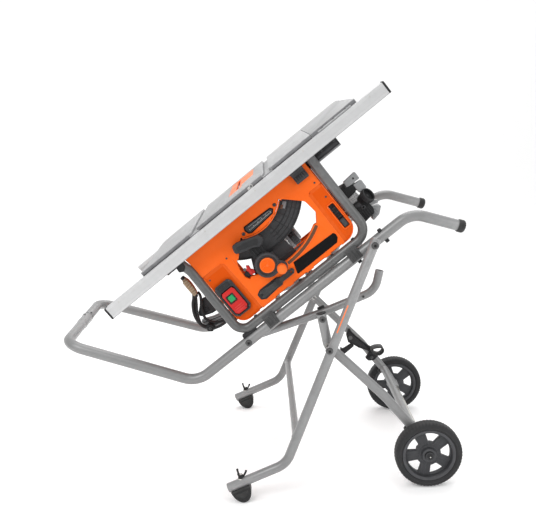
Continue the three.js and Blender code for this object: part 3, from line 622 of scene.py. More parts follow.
MATERIALS = dict(
    frame=material(
        "stand_paint", (0.215, 0.216, 0.216), rough=0.36, metal=0.25, coat=0.25, grain=900,
        depth=0.10, vary=0.05, wear=(0.55, 0.55, 0.56), worn=0.35, scratch=0.10, flake=0.35,
        corner_shade=0.3),
    hoop=material(
        "cage_paint", (0.085, 0.086, 0.085), rough=0.36, metal=0.25, coat=0.3, grain=900,
        depth=0.10, vary=0.06, wear=(0.5, 0.5, 0.51), worn=0.35, scratch=0.10, flake=0.3),
    orange=material(
        "orange_moulding", (0.86, 0.118, 0.004), rough=0.46, spec=0.14, coat=0.03, grain=1500,
        depth=0.30, vary=0.045, mottle=9, wear=(0.95, 0.30, 0.10), worn=0.35, scratch=0.05),
    # darker copy of the orange moulding: painted shade for the recessed panel layer, the recess
    # walls and the shell
    orange_shaded=material(
        "orange_painted_shade", (0.66, 0.078, 0.001), rough=0.55, spec=0.08, grain=1500, depth=0.34,
        vary=0.05, mottle=9, wear=(0.9, 0.2, 0.05), worn=0.3, scratch=0.05),
    orange_plate=material(
        "orange_insert", (0.88, 0.17, 0.035), rough=0.42, grain=1100, depth=0.25, vary=0.05,
        scratch=0.15, wear=(0.95, 0.4, 0.2), worn=0.3),
    table=material(
        "ground_alloy_top", (0.245, 0.246, 0.248), rough=0.38, metal=0.35, grain=520,
        depth=0.12, vary=0.035, tilt=True, stretch=(0.06, 1, 1), scratch=0.12,
        wear=(0.75, 0.75, 0.76), worn=0.4, corner_shade=0.45, flake=0.15),
    # dark cast colour; on the front faces of the tables it is a painted shadow
    dark_cast_and_shade=material(
        "dark_cast_and_painted_shade", (0.13, 0.132, 0.138), rough=0.5, metal=0.3, grain=420, depth=0.3,
        vary=0.12, wear=(0.4, 0.4, 0.41), worn=0.4),
    cast=material(
        "cast_alloy", (0.30, 0.305, 0.31), rough=0.55, metal=0.5, grain=260, depth=0.55,
        vary=0.12, wear=(0.6, 0.6, 0.6), worn=0.5, corner_shade=0.55),
    rail=material(
        "anodised_rail", (0.50, 0.502, 0.506), rough=0.30, metal=0.35, coat=0.05, grain=700,
        depth=0.10, vary=0.03, tilt=True, stretch=(0.02, 1, 1), scratch=0.05,
        wear=(0.9, 0.9, 0.9), worn=0.2),
    # darker rail grey, used as a painted shadow line under the front rail
    rail_shadow=material(
        "rail_painted_shadow", (0.30, 0.302, 0.305), rough=0.35, metal=0.5, grain=700, depth=0.1,
        vary=0.05, tilt=True, stretch=(0.02, 1, 1)),
    ink=material(
        "deep_black_moulding", (0.0045, 0.0045, 0.005), rough=0.62, spec=0.12, grain=1300,
        depth=0.3, vary=0.1, corner_shade=0.3),
    black=material(
        "black_moulding", (0.009, 0.0093, 0.0102), rough=0.54, spec=0.28, grain=1300,
        depth=0.40, vary=0.14, wear=(0.06, 0.06, 0.063), worn=0.45, corner_shade=0.4, scratch=0.06),
    dark=material(
        "dark_moulding", (0.022, 0.0225, 0.0245), rough=0.54, grain=1200, depth=0.45,
        vary=0.12, wear=(0.09, 0.09, 0.095), worn=0.45, corner_shade=0.4, scratch=0.06),
    clamp=material(
        "clamp_rubber", (0.014, 0.0143, 0.015), rough=0.70, grain=900, depth=0.6, vary=0.12,
        sheen=0.15, wear=(0.17, 0.17, 0.17), worn=0.35),
    rubber=material(
        "soft_rubber", (0.010, 0.010, 0.0105), rough=0.66, grain=800, depth=0.6, vary=0.18,
        sheen=0.12, wear=(0.09, 0.09, 0.088), worn=0.4),
    tyre=material(
        "tyre_rubber", (0.0125, 0.0126, 0.0135), rough=0.66, grain=500, depth=0.6, vary=0.18,
        sheen=0.06, wear=(0.06, 0.06, 0.062), worn=0.4, corner_shade=0.1),
    wheel=material(
        "wheel_moulding", (0.044, 0.045, 0.049), rough=0.50, grain=1200, depth=0.45,
        vary=0.10, wear=(0.10, 0.10, 0.105), worn=0.4, corner_shade=0.4, scratch=0.06),
    red=material(
        "red_moulding", (0.48, 0.009, 0.008), rough=0.34, spec=0.2, coat=0.15, grain=1400,
        depth=0.15, vary=0.05, wear=(0.85, 0.15, 0.12), worn=0.25),
    green=material(
        "green_moulding", (0.008, 0.27, 0.085), rough=0.34, spec=0.2, coat=0.15, grain=1400,
        depth=0.15, vary=0.05, wear=(0.2, 0.6, 0.3), worn=0.25),
    steel=material(
        "ground_steel", (0.52, 0.525, 0.53), rough=0.30, metal=0.9, grain=700, depth=0.25,
        vary=0.08, scratch=0.15, corner_shade=0.4, wear=(0.75, 0.75, 0.75), worn=0.4),
    zinc=material(
        "zinc_plate", (0.50, 0.49, 0.46), rough=0.36, metal=0.85, grain=500, depth=0.3,
        vary=0.14, wear=(0.7, 0.7, 0.68), worn=0.4),
    bolt=material(
        "blacked_bolt", (0.030, 0.030, 0.031), rough=0.36, metal=0.55, grain=700, depth=0.3,
        vary=0.2, wear=(0.22, 0.22, 0.22), worn=0.6),
    plate=material(
        "pale_plate", (0.26, 0.265, 0.27), rough=0.42, metal=0.2, grain=900, depth=0.12,
        vary=0.04, tilt=True, scratch=0.1),
    cord=material(
        "cord_jacket", (0.018, 0.018, 0.019), rough=0.58, grain=600, depth=0.45, vary=0.2,
        sheen=0.1),
    brown=material(
        "aged_brass", (0.30, 0.20, 0.12), rough=0.42, metal=0.6, grain=380, depth=0.6,
        vary=0.4, mottle=60, wear=(0.6, 0.5, 0.38), worn=0.5),
    white=material(
        "pale_print", (0.62, 0.62, 0.60), rough=0.55, grain=900, depth=0.15, vary=0.05),
    # dark brown, also used as painted shade in the groove on the panel
    scale=material(
        "brown_mark_and_groove_shade", (0.115, 0.045, 0.02), rough=0.5, grain=900, depth=0.3, vary=0.15),
)

# ------------------------------------------------------------------ main frame
LOOP_X, LOOP_Z = -431.7, 333.8  # cross run of the rear loop
GRIP = (690, -124)              # lower right end of a main tube
GRIP_CAP = [(16.6, -14), (18.2, -14), (18.6, -13.2), (18.9, -3), (18.6, 0.8), (17.2, 3.6),
            (14, 6.4), (9, 8.3), (4, 9.0), (0.01, 9.1), (0.01, 2), (14, 2), (16.6, 0.4)]

for side, tag in SIDES:
    y = side * TUBE_Y
    path = across([(GRIP[0], TUBE_Y, GRIP[1]), (600, TUBE_Y, 0), (-198.3, TUBE_Y, 0),
                   (LOOP_X, 247.6, LOOP_Z), (LOOP_X, 2 if side < 0 else 44.5, LOOP_Z)], side)
    part = Piece("main_tube_" + tag, "frame_tube_" + tag, "stand_grey")
    part.add("frame", tube(bend(path, [78, 78, 58], 4), 16, 36, depth=30,
                           ends=(True, side > 0)))
    # raised discs where the pivot screws pass
    for pivot in ((0.0, 0.0), saw_xz(*LEG_PIVOT)):
        part.add("frame", solid([(11.5, 0), (11.5, 1.2), (9.5, 2.2)], at(pivot, side * 283.0),
                                (0, side, 0), 28))
    # tabs above and below the tube, then a wedge on top below the cage corner
    part.add("black", block(493, 505, y - 9, y + 9, 12, 22, 2.5, 3),
             block(493, 505, y - 9, y + 9, -24, -13, 2.5, 3),
             block(395, 407, y - 8, y + 8, -22, -14.5, 2.0, 3),
             slab(soft([(-6, 15.2), (42, 15.2), (44, 20), (20, 26.5), (-4, 26.5)], 2),
                  y - 9, y + 9, bev=1.4))
    part.done()
    part = Piece("grip_cap_" + tag, "handle_cap_" + tag, "black_plastic")
    part.add("rubber", hollow(GRIP_CAP, at(GRIP, y), (90, 0, -124), 40))
    part.done()

# joint where the two halves of the rear loop meet
part = Piece("loop_joint", "loop_joint_sleeve", "stand_grey")
part.add("frame", hollow([(14.2, -41), (16.2, -41), (16.9, -39.5), (17.2, -36), (17.2, 42.5),
                          (16.6, 44), (14.2, 44)], (LOOP_X, 0, LOOP_Z), TO_BACK, 36))
part.add("bolt",
         screw((LOOP_X - 9, 58, LOOP_Z + 14.4), (-0.5, 0, 0.86), 4.0, 2.6, under=3),
         screw((LOOP_X + 15.2, 58, LOOP_Z + 3.5), (1, 0, 0.25), 4.4, 3.0, under=3),
         screw((LOOP_X + 9, 20, LOOP_Z + 14.6), (0.5, 0, 0.86), 3.2, 2.0, under=3),
         washer(16.9, 17.45, 1.4, (LOOP_X, 44.5, LOOP_Z), TO_BACK, 36))
part.done()

# ------------------------------------------------------------------ cage hoops and clamps
# centre line points and bend radii
HOOPS = {
    "front": ([(-14, -266, 342.2), (3, -264, 268), (0, -268, 110), (-2, -268, 33),
               (472, -268, 33), (472, -268, 120), (474, -264, 342.2)],
              [60, 220, 44, 50, 200]),
    "rear": ([(-2, 226, 342.2), (-2, 226, 250), (-2, 268, 130), (-2, 268, 33),
              (472, 268, 33), (472, 268, 130), (472, 226, 250), (472, 226, 342.2)],
             [90, 90, 56, 56, 90, 90]),
}
CAGE_Z = 33  # lower run of a hoop
for side, tag in SIDES:
    part = Piece("cage_tube_" + tag, "cage_hoop_" + tag, "stand_grey")
    part.add("hoop", tube(bend(*HOOPS[tag], 5), 14, 32, depth=12))
    y = side * TUBE_Y
    if side < 0:
        # clip at the upper left and two small bumpers
        part.add("black",
                 slab(soft([(-22, 288), (-10, 281), (4, 290), (4, 306), (-20, 306)], 4),
                      -281, -248, bev=2),
                 block(-52, -14, -284, -276, 301.5, 306.5, 1.6),
                 block(-10, 12, -260, -246, 246, 262, 3))
    part.add("black", *[block(x - 5, x + 5, y - 5, y + 5, 46.4, 49.6, 1.2)
                        for x in (64, 232, 350, 424)])
    part.done()
    outline = [(y - 18.8, -7), (y - 19.2, 30), (y - 17.4, CAGE_Z)]
    outline += polars((y, CAGE_Z), 14.3, range(180, 361, 10))
    outline += [(y + 17.4, CAGE_Z), (y + 19.2, 30), (y + 18.8, -7)]
    outline += polars((y, 0), 16.3, range(-25, 206, 10))
    for x, end in ((94, "left"), (400, "right")):
        part = Piece(f"tube_clamp_{tag}_{end}", f"cage_clamp_{tag}_{end}", "rubber_black")
        part.add("clamp", slab(outline, x - 18.5, x + 18.5, "X", bev=0.9))
        # moulded ribs and two screws
        part.add("clamp", *[slab(rect(x + k * 0.85 - 2.4, x + k * 0.85 + 2.4, -2, 27, 2.2),
                                 side * 286.6, side * 288.6, bev=0.9) for k in (-13, 0, 13)])
        part.add("bolt", *screws([(x + k, y - side * 19.0, 16) for k in (-11, 11)],
                                 (0, -side, 0), 3.4, 1.8))
        part.done()

# ------------------------------------------------------------------ pivot screws
# kind, (x, z), inner and outer y, space, body
PIVOT_SCREWS = (
    ("leg", saw_xz(*LEG_PIVOT), 252, 318.6, SAW, "saw_frame"),
    ("link", (0.0, 0.0), 222, 284.8, SAW, "saw_frame"),
    ("cross", CROSS_PIVOT, 274, 342.6, STAND, "foot_leg"),
)
for side, tag in SIDES:
    outward = (0, side, 0)
    for kind, pivot, inner, outer, space, body in PIVOT_SCREWS:
        part = Piece(f"{kind}_screw_{tag}", f"{kind}_bolt_{tag}", "black_plastic", body, space)
        length = outer - inner
        part.add("bolt",
                 solid([(4.4, 0), (4.4, length), (9.8, length), (10.3, length + 0.7),
                        (10.3, length + 1.3), (9.4, length + 1.6)],
                       at(pivot, side * inner), outward, 32),
                 screw(at(pivot, side * (outer + 1.4)), outward, 8.2, 4.4))
        part.add("zinc", hollow([(4.5, 0), (8.2, 0), (8.6, 0.6), (8.6, 5.4), (8.2, 6), (4.5, 6)],
                                at(pivot, side * inner), outward, 6))
        part.done()

# ------------------------------------------------------------------ foot legs
FOOT_Y = 352
FOOT_END, FOOT_BEND = Vector((-317.6, 0, 40)), Vector((-146.6, 0, 110.5))
STEM_X = -281.6
leg_dir = (FOOT_BEND - Vector(at(LEG_PIVOT))).normalized()
foot_dir = (FOOT_END - FOOT_BEND).normalized()


def leg_point(z, side=1):
    """Point on the centre line of the straight upper leg."""
    drop = LEG_PIVOT[1] - z
    x = LEG_PIVOT[0] + (FOOT_BEND.x - LEG_PIVOT[0]) * drop / (LEG_PIVOT[1] - FOOT_BEND.z)
    return Vector((x, side * (302 + 50 * drop / (LEG_PIVOT[1] - 114)), z))


def leg_stripe(side):
    """Thin curved patch on the outside of the leg."""
    start, end = leg_point(574, side), leg_point(494, side)
    normal = Vector((leg_dir.z, 0, -leg_dir.x)).normalized()
    outward = Vector((0, side, 0))
    sections = []
    for f in (0.0, 0.015, 0.5, 0.985, 1.0):
        centre = start.lerp(end, f)
        face = 13.6 if f in (0.0, 1.0) else 14.25
        rim = [(face, a) for a in range(52, 69, 4)] + [(12.6, a) for a in range(68, 51, -4)]
        sections.append([centre + outward * (r * sin(radians(a))) + normal * (r * cos(radians(a)))
                         for r, a in rim])
    return loft(sections)


part = Piece("foot_legs", "foot_leg_frame", "stand_grey", "foot_leg", STAND)
brace = leg_point(185)
for side in (-1, 1):
    outward = (0, side, 0)
    path = across([(LEG_PIVOT[0] - leg_dir.x * 20, 302 - 1.5, LEG_PIVOT[1] - leg_dir.z * 20),
                   (FOOT_BEND.x, FOOT_Y, FOOT_BEND.z), (FOOT_END.x, FOOT_Y, FOOT_END.z)], side)
    part.add("frame",
             tube(bend(path, [70], 4), 14, 36, depth=26, ends=(False, True)),
             solid([(12.5, 0), (13.2, 0.8), (13.2, 3.2), (12, 4.4)],
                   at(LEG_PIVOT, side * 313.2), outward, 32))
    part.add("zinc", washer(5, 10, 2.4, at(LEG_PIVOT, side * 285.0), outward))
    cross_y = leg_point(CROSS_PIVOT[1]).y + 12.6
    part.add("frame", solid([(11.5, 0), (12, 0.6), (12, 1.9), (11, 2.6)],
                            at(CROSS_PIVOT, side * cross_y), outward, 28))
    part.add("orange_plate", leg_stripe(side))
    # collar of the cross tube, plug in the lower end, seat of the threaded stem
    part.add("frame",
             hollow([(9, 0), (13.8, 0), (13.2, 2.2), (11.6, 4.6), (11.0, 6.5), (9, 6.5)],
                    (brace.x, side * (brace.y - 12.5), brace.z), (0, -side, 0), 32),
             solid([(11.6, -6), (11.6, -0.4), (14.1, -0.4), (14.3, 0.4), (13.6, 2.6), (10, 3.6),
                    (0.01, 3.8)],
                   (FOOT_END.x - foot_dir.x, side * FOOT_Y, FOOT_END.z - foot_dir.z),
                   foot_dir, 32))
    part.add("zinc", hollow([(4.8, 0), (8.6, 0), (9.0, 0.5), (9.0, 3), (8.4, 3.6), (4.8, 3.6)],
                            (STEM_X, side * FOOT_Y, 66.4), UP, 24))
part.add("frame", cross_tube(brace.x, brace.z, brace.y - 3, brace.y - 40, 11, 32))
part.done()


def half_round(along, down, angles):
    """Part of an ellipse whose flat side lies along the underside of the foot tube."""
    normal = Vector((-foot_dir.z, 0, foot_dir.x))
    centre = FOOT_END - foot_dir * 32.5 + normal * 11.0
    points = [centre + foot_dir * (along * cos(radians(a))) + normal * (down * sin(radians(a)))
              for a in angles]
    return [(p.x, p.z) for p in points]


for side, tag in SIDES:
    y = side * FOOT_Y
    part = Piece("levelling_foot_" + tag, "foot_pad_" + tag, "rubber_black", "foot_leg", STAND)
    outline = [(x, max(z, 0.3)) for x, z in half_round(29.5, 43.6, range(0, 181, 6))]
    part.add("rubber", slab(outline, y - 19.5, y + 19.5, bev=4.0, seg=5),
             slab(half_round(20.0, 28.0, range(20, 161, 7)), y - 20.6, y + 20.6, bev=0.8))
    # threaded stem
    thread = [pair for z in range(22, 80, 2) for pair in ((4.1, z), (4.75, z + 1))]
    part.add("zinc", solid(thread + [(4.1, 80)], (STEM_X, y, 0), UP, 20))
    part.done()
    # small three-armed knob above the leg
    part = Piece("wing_knob_" + tag, "foot_knob_" + tag, "black_plastic",
                 "foot_knob_" + tag[0], STAND)
    part.add("black", hollow([(5.2, 69.2), (7.0, 69.2), (7.6, 70), (7.0, 79), (5.8, 81.6),
                              (5.2, 81.8)], (STEM_X, y, 0), UP, 28))
    for angle in (0, 120, 240):
        c, s = polar((0, 0), 1, angle + 8)
        arm = [(STEM_X + r * c, y + r * s, h)
               for r, h in ((4.5, 73), (7.0, 75), (12.4, 82), (16.0, 90))]
        part.add("black", tube(catmull(arm, 4), 3.0, 14, ends=CLOSED),
                 solid([(0.01, -3.2), (2.0, -2.9), (3.4, -1.2), (3.7, 0.4), (3.0, 2.4),
                        (1.4, 3.4), (0.01, 3.6)], arm[-1], (c * 0.4, s * 0.4, 0.9), 16))
    part.add("zinc", solid([(4.4, 79.2), (4.4, 81.2), (3.4, 82.0)], (STEM_X, y, 0), UP, 20))
    part.done()

# ------------------------------------------------------------------ wheel legs and axle
top_dir = (Vector(at(TOP_PIVOT)) - Vector(at(CROSS_PIVOT))).normalized()
top_end = (TOP_PIVOT[0] + top_dir.x * 14, TOP_PIVOT[1] + top_dir.z * 14)
# axle bracket outline, measured from the hub
BRACKET = ((-16, 26), (-34, 6), (-20, -13), (6, -15), (15, -2), (6, 22))
part = Piece("wheel_legs", "wheel_leg_frame", "stand_grey", "wheel_leg", STAND)
for side in (-1, 1):
    outward = (0, side, 0)
    path = across([at(top_end, 288), at(CROSS_PIVOT, 288), (155, 268, 276), (238.5, 257, 172),
                   (HUB[0] - 2, 254, HUB[1] + 4)], side)
    part.add("frame", tube(bend(path, [34, 90, 110], 4), 14, 36, depth=20, ends=(True, False)))
    # end plug at the top
    part.add("black", solid([(11.4, -10), (11.4, -0.2), (14.6, -0.2), (15.2, 0.8), (14.4, 1.9),
                             (0.01, 2.0)], at(top_end, side * 288), top_dir, 32))
    # stud and screw head at the upper pivot, washer at the crossing
    part.add("bolt",
             solid([(5.2, 0), (5.2, 54), (9.6, 54), (10, 54.6), (10, 55.4), (9.2, 56)],
                   at(TOP_PIVOT, side * 247.5), outward, 28),
             screw(at(TOP_PIVOT, side * 303.4), outward, 7.6, 3.8))
    part.add("zinc", washer(5.6, 10.5, 2.2, at(CROSS_PIVOT, side * 301.6), outward))
    bracket = soft([(HUB[0] + x, HUB[1] + z) for x, z in BRACKET], 7)
    part.add("frame", slab(bracket, side * 266.5, side * 269.8, bev=0.8),
             hollow([(8.2, 0), (12.5, 0), (12.5, 5), (11.5, 5.8), (8.2, 5.8)],
                    at(HUB, side * 266.0), outward, 28))
    # bumper under the leg
    part.add("rubber", solid([(7, 0), (8.6, 1.5), (9.4, 5), (8.6, 11), (6, 13.4), (0.01, 14)],
                             (228, side * 256, 170), (-0.62, 0, -0.78), 28))
# cross tube and its collars, axle with its end caps
part.add("frame", cross_tube(238.5, 172, 247, 200, 12, 32))
part.add("frame", *[
    hollow([(9, 0), (14.6, 0), (13.6, 2.6), (12.2, 5), (12.0, 7), (9, 7)],
           (238.5, side * 244.8, 172), (0, -side, 0), 32) for side in (-1, 1)])
part.add("zinc", solid([(7.4, -322), (7.8, -321), (7.8, 321), (7.4, 322)], at(HUB), TO_BACK, 32))
for side in (-1, 1):
    outward = (0, side, 0)
    part.add("dark", hollow([(8, 0), (12.6, 0), (13, 0.5), (13, 1.6), (12.6, 2), (8, 2)],
                            at(HUB, side * 318.8), outward, 32))
    part.add("black", solid([(8.2, 0), (9, 0.6), (9, 2.2), (8.0, 3.2), (5, 3.6), (3.4, 2.4)],
                            at(HUB, side * 320.6), outward, 32))
    part.add("zinc", solid([(2.2, 0), (2.0, 1.3), (0.01, 1.6)],
                           (HUB[0] + 1, side * 322.6, HUB[1] - 1), outward, 20))
# pin of the release pedal
part.add("bolt", solid([(7.4, 0), (7.4, 2), (4.3, 2.4), (4.3, 36)], (112, 228.6, 304),
                       TO_BACK, 24))
part.done()

# ------------------------------------------------------------------ wheels and tyres
WHEEL_Y = (318.0 + 273.0) / 2
RIM = [(71, -17), (74, -19), (79.5, -19), (80.1, -18), (80.1, 18), (79.5, 19), (74, 19),
       (71, 17), (70.2, 13), (70.0, 0), (70.2, -13)]
HUB_BODY = [(8.6, -18), (19, -18), (20, -17), (20.5, 4.6), (27.5, 5.0), (28.6, 6.4),
            (28.0, 7.6), (22.4, 8.2), (21.8, 14), (20.6, 17.4), (18, 19.0), (14.4, 19.4),
            (13.6, 18.2), (13.2, 14), (8.6, 14)]
# offset from the spoke line at the hub and at the rim, width, outer face
SPOKE_RIBS = ((-12.5, -14.5, 2.2, 6.8), (12.5, 14.5, 2.2, 6.8),
              (-4.2, -5.0, 1.6, 5.9), (4.2, 5.0, 1.6, 5.9))
# (radius, offset from the wheel's middle plane)
TYRE = [(80.5, -16.5), (82, -19), (86, -21.6), (91, -22.3), (94.5, -21.6), (97.6, -19.4),
        (99.6, -15.5), (100.2, -10), (100.5, -4), (100.5, 4), (100.2, 10), (99.6, 15.5),
        (97.6, 19.4), (94.5, 21.6), (91, 22.3), (86, 21.6), (82, 19), (80.5, 16.5)]


def wheel_window(centre):
    """Opening between two spokes, around an angle in degrees."""
    inner = polars(HUB, 37.5, [centre - 12.5 + 25 * j / 5 for j in range(6)])
    outer = polars(HUB, 65.5, [centre + 20.5 - 41 * j / 9 for j in range(10)])
    return soft(inner + outer, 3.5, 3)


def tread(station, k):
    """Height of the tread block at a profile station of ring k."""
    if not 5 <= station <= 12:
        return 0.0
    phase = k if station <= 8 else k + 2
    height = 0.45 if phase % 4 < 2 else -0.45
    return min(height, 0.2) if station in (8, 9) else height


for side, tag in SIDES:
    mid = side * WHEEL_Y
    outward = (0, side, 0)
    centre = at(HUB, mid)
    body = "wheel_" + tag[0]
    part = Piece("wheel_" + tag, "wheel_rim_" + tag, "black_plastic", body, STAND)
    part.add("wheel", hollow(RIM, centre, outward, 72),
             slab(circle(HUB, 71.5, 80), mid - side * 9, mid + side * 5,
                  holes=[wheel_window(k * 72 + 78) for k in range(5)], bev=1.6, seg=3))
    for k in range(5):
        c, s = polar((0, 0), 1, k * 72 + 42)
        for near, far, width, top in SPOKE_RIBS:
            half = width / 2
            rib = [(HUB[0] + r * c - q * s, HUB[1] + r * s + q * c)
                   for r, q in ((21, near - half), (71, far - half), (71, far + half),
                                (21, near + half))]
            part.add("wheel", slab(rib, mid + side * 3, mid + side * top, bev=0.9))
    part.add("wheel", hollow(HUB_BODY, centre, outward, 56))
    part.add("black", hollow([(8.7, 14), (12.8, 14), (13.1, 15), (13.1, 17), (12.6, 18.0),
                              (8.7, 18.0)], centre, outward, 36))
    part.add("wheel", *[solid([(1.6, 0), (1.6, 1.2), (1.0, 1.7), (0.01, 1.8)],
                              at(polar(HUB, 75.5, 36 * k), mid + side * 18.6), outward, 12)
                        for k in range(10)])
    part.done()
    part = Piece("tyre_" + tag, "wheel_tyre_" + tag, "tyre_black", body, STAND)
    sections = []
    for k in range(240):
        sections.append([at(polar(HUB, r + tread(j, k), 1.5 * k), mid + side * offset)
                         for j, (r, offset) in enumerate(TYRE)])
    part.add("tyre", loft(sections, closed=True),
             # raised ring on the outer wall
             hollow([(86.5, 21.0), (87, 22.2), (88.4, 22.4), (89, 21.6)], centre, outward, 96))
    part.done(28)

# ------------------------------------------------------------------ links
part = Piece("links", "link_frame", "stand_grey", "link", STAND)
x, z = TOP_PIVOT
for side in (-1, 1):
    outward = (0, side, 0)
    path = across([(LINK_PIVOT[0] - 14, 233, LINK_PIVOT[1] - 5), (x, 233, z), (132, 233, 593),
                   (146, 233, 655)], side)
    part.add("frame", tube(bend(path, [400, 62], 4), 12.5, 32, depth=26))
    part.add("zinc", washer(5.4, 10, 2, at(LINK_PIVOT, side * 245.4), outward))
    # pad on top of the tube near the upper pivot, and a screw
    part.add("black", slab(soft([(x - 10, z + 10.6), (x + 12, z + 18.5), (x + 10, z + 24),
                                 (x - 10, z + 16.5)], 2), side * 227, side * 239, bev=1.4))
    part.add("bolt", screw((96, side * 245.2, 579.0), outward, 4.2, 2.6, under=3))
    part.add("frame", hollow([(7, 0), (12.4, 0), (11.4, 2.4), (9.6, 4.4), (9.1, 6), (7, 6)],
                             (-150, side * 222.6, 490.8), (0, -side, 0), 28))
part.add("frame", cross_tube(-150, 490.8, 224, 180, 9, 28))
part.done()

# ------------------------------------------------------------------ release pedal
PEDAL = [(108, 343), (118, 325), (132, 310), (146, 298), (162, 284), (178, 271), (188, 266),
         (196, 258), (198, 246), (204, 238), (214, 236), (212, 228), (198, 214), (178, 213),
         (166, 224), (176, 236), (181, 246), (172, 254), (158, 258), (142, 264), (127, 274),
         (104, 286), (97, 315)]
part = Piece("foot_release", "release_pedal", "black_plastic", "pedal", STAND)
part.add("black",
         slab(soft(PEDAL, 4, 3), 232.4, 245.6, holes=[circle((112, 304), 4.8, 24)],
              bev=1.8, seg=3),
         slab(soft([(104, 330), (116, 316), (176, 262), (172, 258), (126, 280), (106, 292)], 3),
              229.4, 233.5, holes=[circle((112, 304), 8.4, 28)], bev=1.2),
         slab(soft([(115, 281), (127, 271), (88, 239), (75, 250), (75, 270), (84, 262)], 3, 3),
              234.5, 243.5, bev=1.6))
# foot loop: a bent flat bar round an open middle; its section is (offset, y)
BAR = ((-2.4, 200), (-1.6, 198.6), (1.6, 198.6), (2.4, 200),
       (2.4, 236), (1.6, 237.4), (-1.6, 237.4), (-2.4, 236))
loop = catmull([(186, 0, 262), (196, 0, 271), (222, 0, 272), (228, 0, 258), (214, 0, 245),
                (196, 0, 250)], 6, closed=True)
sections = []
for k, point in enumerate(loop):
    tangent = (loop[(k + 1) % len(loop)] - loop[k - 1]).normalized()
    normal = Vector((tangent.z, 0, -tangent.x))
    sections.append([point + normal * offset + Vector((0, y, 0)) for offset, y in BAR])
part.add("rubber", loft(sections, closed=True))
part.add("rubber", *[block(200, 220, y, y + 3.2, 270.6, 274.4, 1.0)
                     for y in range(203, 232, 7)])
part.add("bolt", hexbolt((190, 231.8, 226), TO_FRONT, 4.6, 3, 20))
part.done()

# ------------------------------------------------------------------ front panel
OPENING = tilt_arc(124, 46, -32, 24)
OPENING += soft([(134, 222), (118, 190), (115, 155), (126, 134)], [4, 6, 6, 8])[1:]
OPENING += tilt_arc(240, -27, 30, 22)
OPENING += soft([(355, 114), (373, 149), (391, 174), (386, 218), (337, 267), (324.2, 235.9)],
                [0, 14, 10, 16, 4, 0])[1:-1]
NOTCHES = ((84, 118), (146, 196), (212, 262), (286, 330), (350, 392))


def notched(spans, low, high):
    """Shallow notches along the bottom edge."""
    points = []
    for a, b in spans:
        points += [(a, low), (a + 2, high), (b - 2, high), (b, low + 0.2)]
    return points


def ramp(start, end, into):
    """Wedge along a line, falling from the panel face to the recess floor in direction into."""
    face, floor_y = -267.6, -263.3
    sections = []
    for x, z in (start, end):
        foot = (x + into[0], z + into[1])
        sections.append([(x, face, z), at(foot, floor_y), at(foot, floor_y + 0.6),
                         (x, floor_y + 0.6, z)])
    return loft(sections)


panel = [(8.6, 322), (13.2, 296), (16, 268), (14.8, 120), (14, 84)]
panel += arc(48, 84, 34, -84, 0, 12) + notched(NOTCHES, 50, 53.5)
panel += arc(410, 95, 44, 0, 90, 12) + [(454, 322)]
middle = [(9.2, 322), (13.8, 296), (16.4, 268), (16.4, 232)]
middle += soft([(17, 231), (93, 231), (99, 60)], [0, 13, 0], 6)[1:-1] + [(96, 51.2)]
middle += notched(NOTCHES[1:], 50.6, 54) + [(402, 52)]
middle += soft([(402, 60), (405, 231), (453.6, 231)], [0, 13, 0], 6)[1:-1]
middle += [(453.6, 231), (453.6, 322)]

part = Piece("front_moulding", "front_panel", "orange_plastic")
# recessed back layer of the panel in the darker orange: painted shade
part.add("orange_shaded", slab(panel, -263.4, -250.6, bev=1.2, seg=3,
                             holes=[OPENING, rect(427, 445, 84, 164, 3),
                                    rect(22, 74, 79, 182, 6)]))
part.add("orange", slab(middle, -268.0, -262.4, holes=[OPENING], bev=2.3, seg=4),
         # rims round the opening
         strap(tilt_arc(126, 44, -30, 20), 3.2, -270.2, -266.5, 1.2),
         strap(tilt_arc(254, -2, 31, 22), 2.6, -269.8, -266.5, 1.0),
         strap(tilt_arc(242, -4, 30, 22), 2.6, -269.8, -266.5, 1.0))
# dark brown band between the rims: painted shade in the groove
part.add("scale", strap(tilt_arc(248, -1.5, 30.5, 24), 9.6, -268.8, -267.2, 0.3))
# sloped inner walls of the two side recesses, in the darker orange as painted shade
part.add("orange_shaded", ramp((99.4, 56), (97.6, 226), (-13.5, 0)),
         ramp((20, 231.4), (90, 231.4), (0, -10.5)),
         ramp((401.4, 56), (404.4, 226), (10.5, 0)),
         ramp((412, 231.4), (450, 231.4), (0, -10.5)))
# lips beside the opening, along the outer edges and round the slot at the right
part.add("orange",
         strap([(118, 218), (117, 202), (119, 186)], 2.4, -269.6, -266.5, 0.8),
         strap([(17.6, 228), (16.2, 110), (16, 84)] + arc(48, 84, 32, -84, -4, 10),
               2.4, -266.4, -262, 0.8),
         strap(arc(410, 95, 42.2, 4, 90, 10) + [(452.2, 140), (452.2, 228)],
               2.4, -266.4, -262, 0.8),
         strap(rect(424.4, 447.6, 81.4, 166.6, 4), 2.2, -265.4, -262, 0.7, closed=True))
# two screws beside the tick plate, screws near the edges
for x, z in ((191.5, 256), (312.5, 265.5)):
    part.add("black", solid([(5.2, 0), (5.4, 0.4), (5.2, 0.9)], (x, -268.0, z), TO_FRONT, 24))
    part.add("bolt", screw((x, -268.6, z), TO_FRONT, 3.7, 2.2))
part.add("bolt", *screws([(30, -267.6, 306), (440, -267.6, 242), (28, -262.8, 212),
                          (440, -262.8, 190), (404, -262.8, 66), (108, -267.6, 232)],
                         TO_FRONT, 3.0, 1.8))
# flange along the top in the darker orange as painted shade, fittings in the slot
part.add("orange_shaded", block(10, 453, -268, -250.6, 318.5, 322, 0.8))
part.add("black", *[block(429.2, 442.8, -260.6, -254.5, z, z + 3, 1.0) for z in (118, 133, 148)])
part.add("dark", block(428.4, 443.6, -264, -252, 86, 112, 2.6, 3),
         block(431.0, 441.0, -265.4, -263, 90, 108, 1.0))
part.add("black", block(427.2, 444.8, -253.4, -251.2, 84.5, 163.5, 0.6))
part.done()

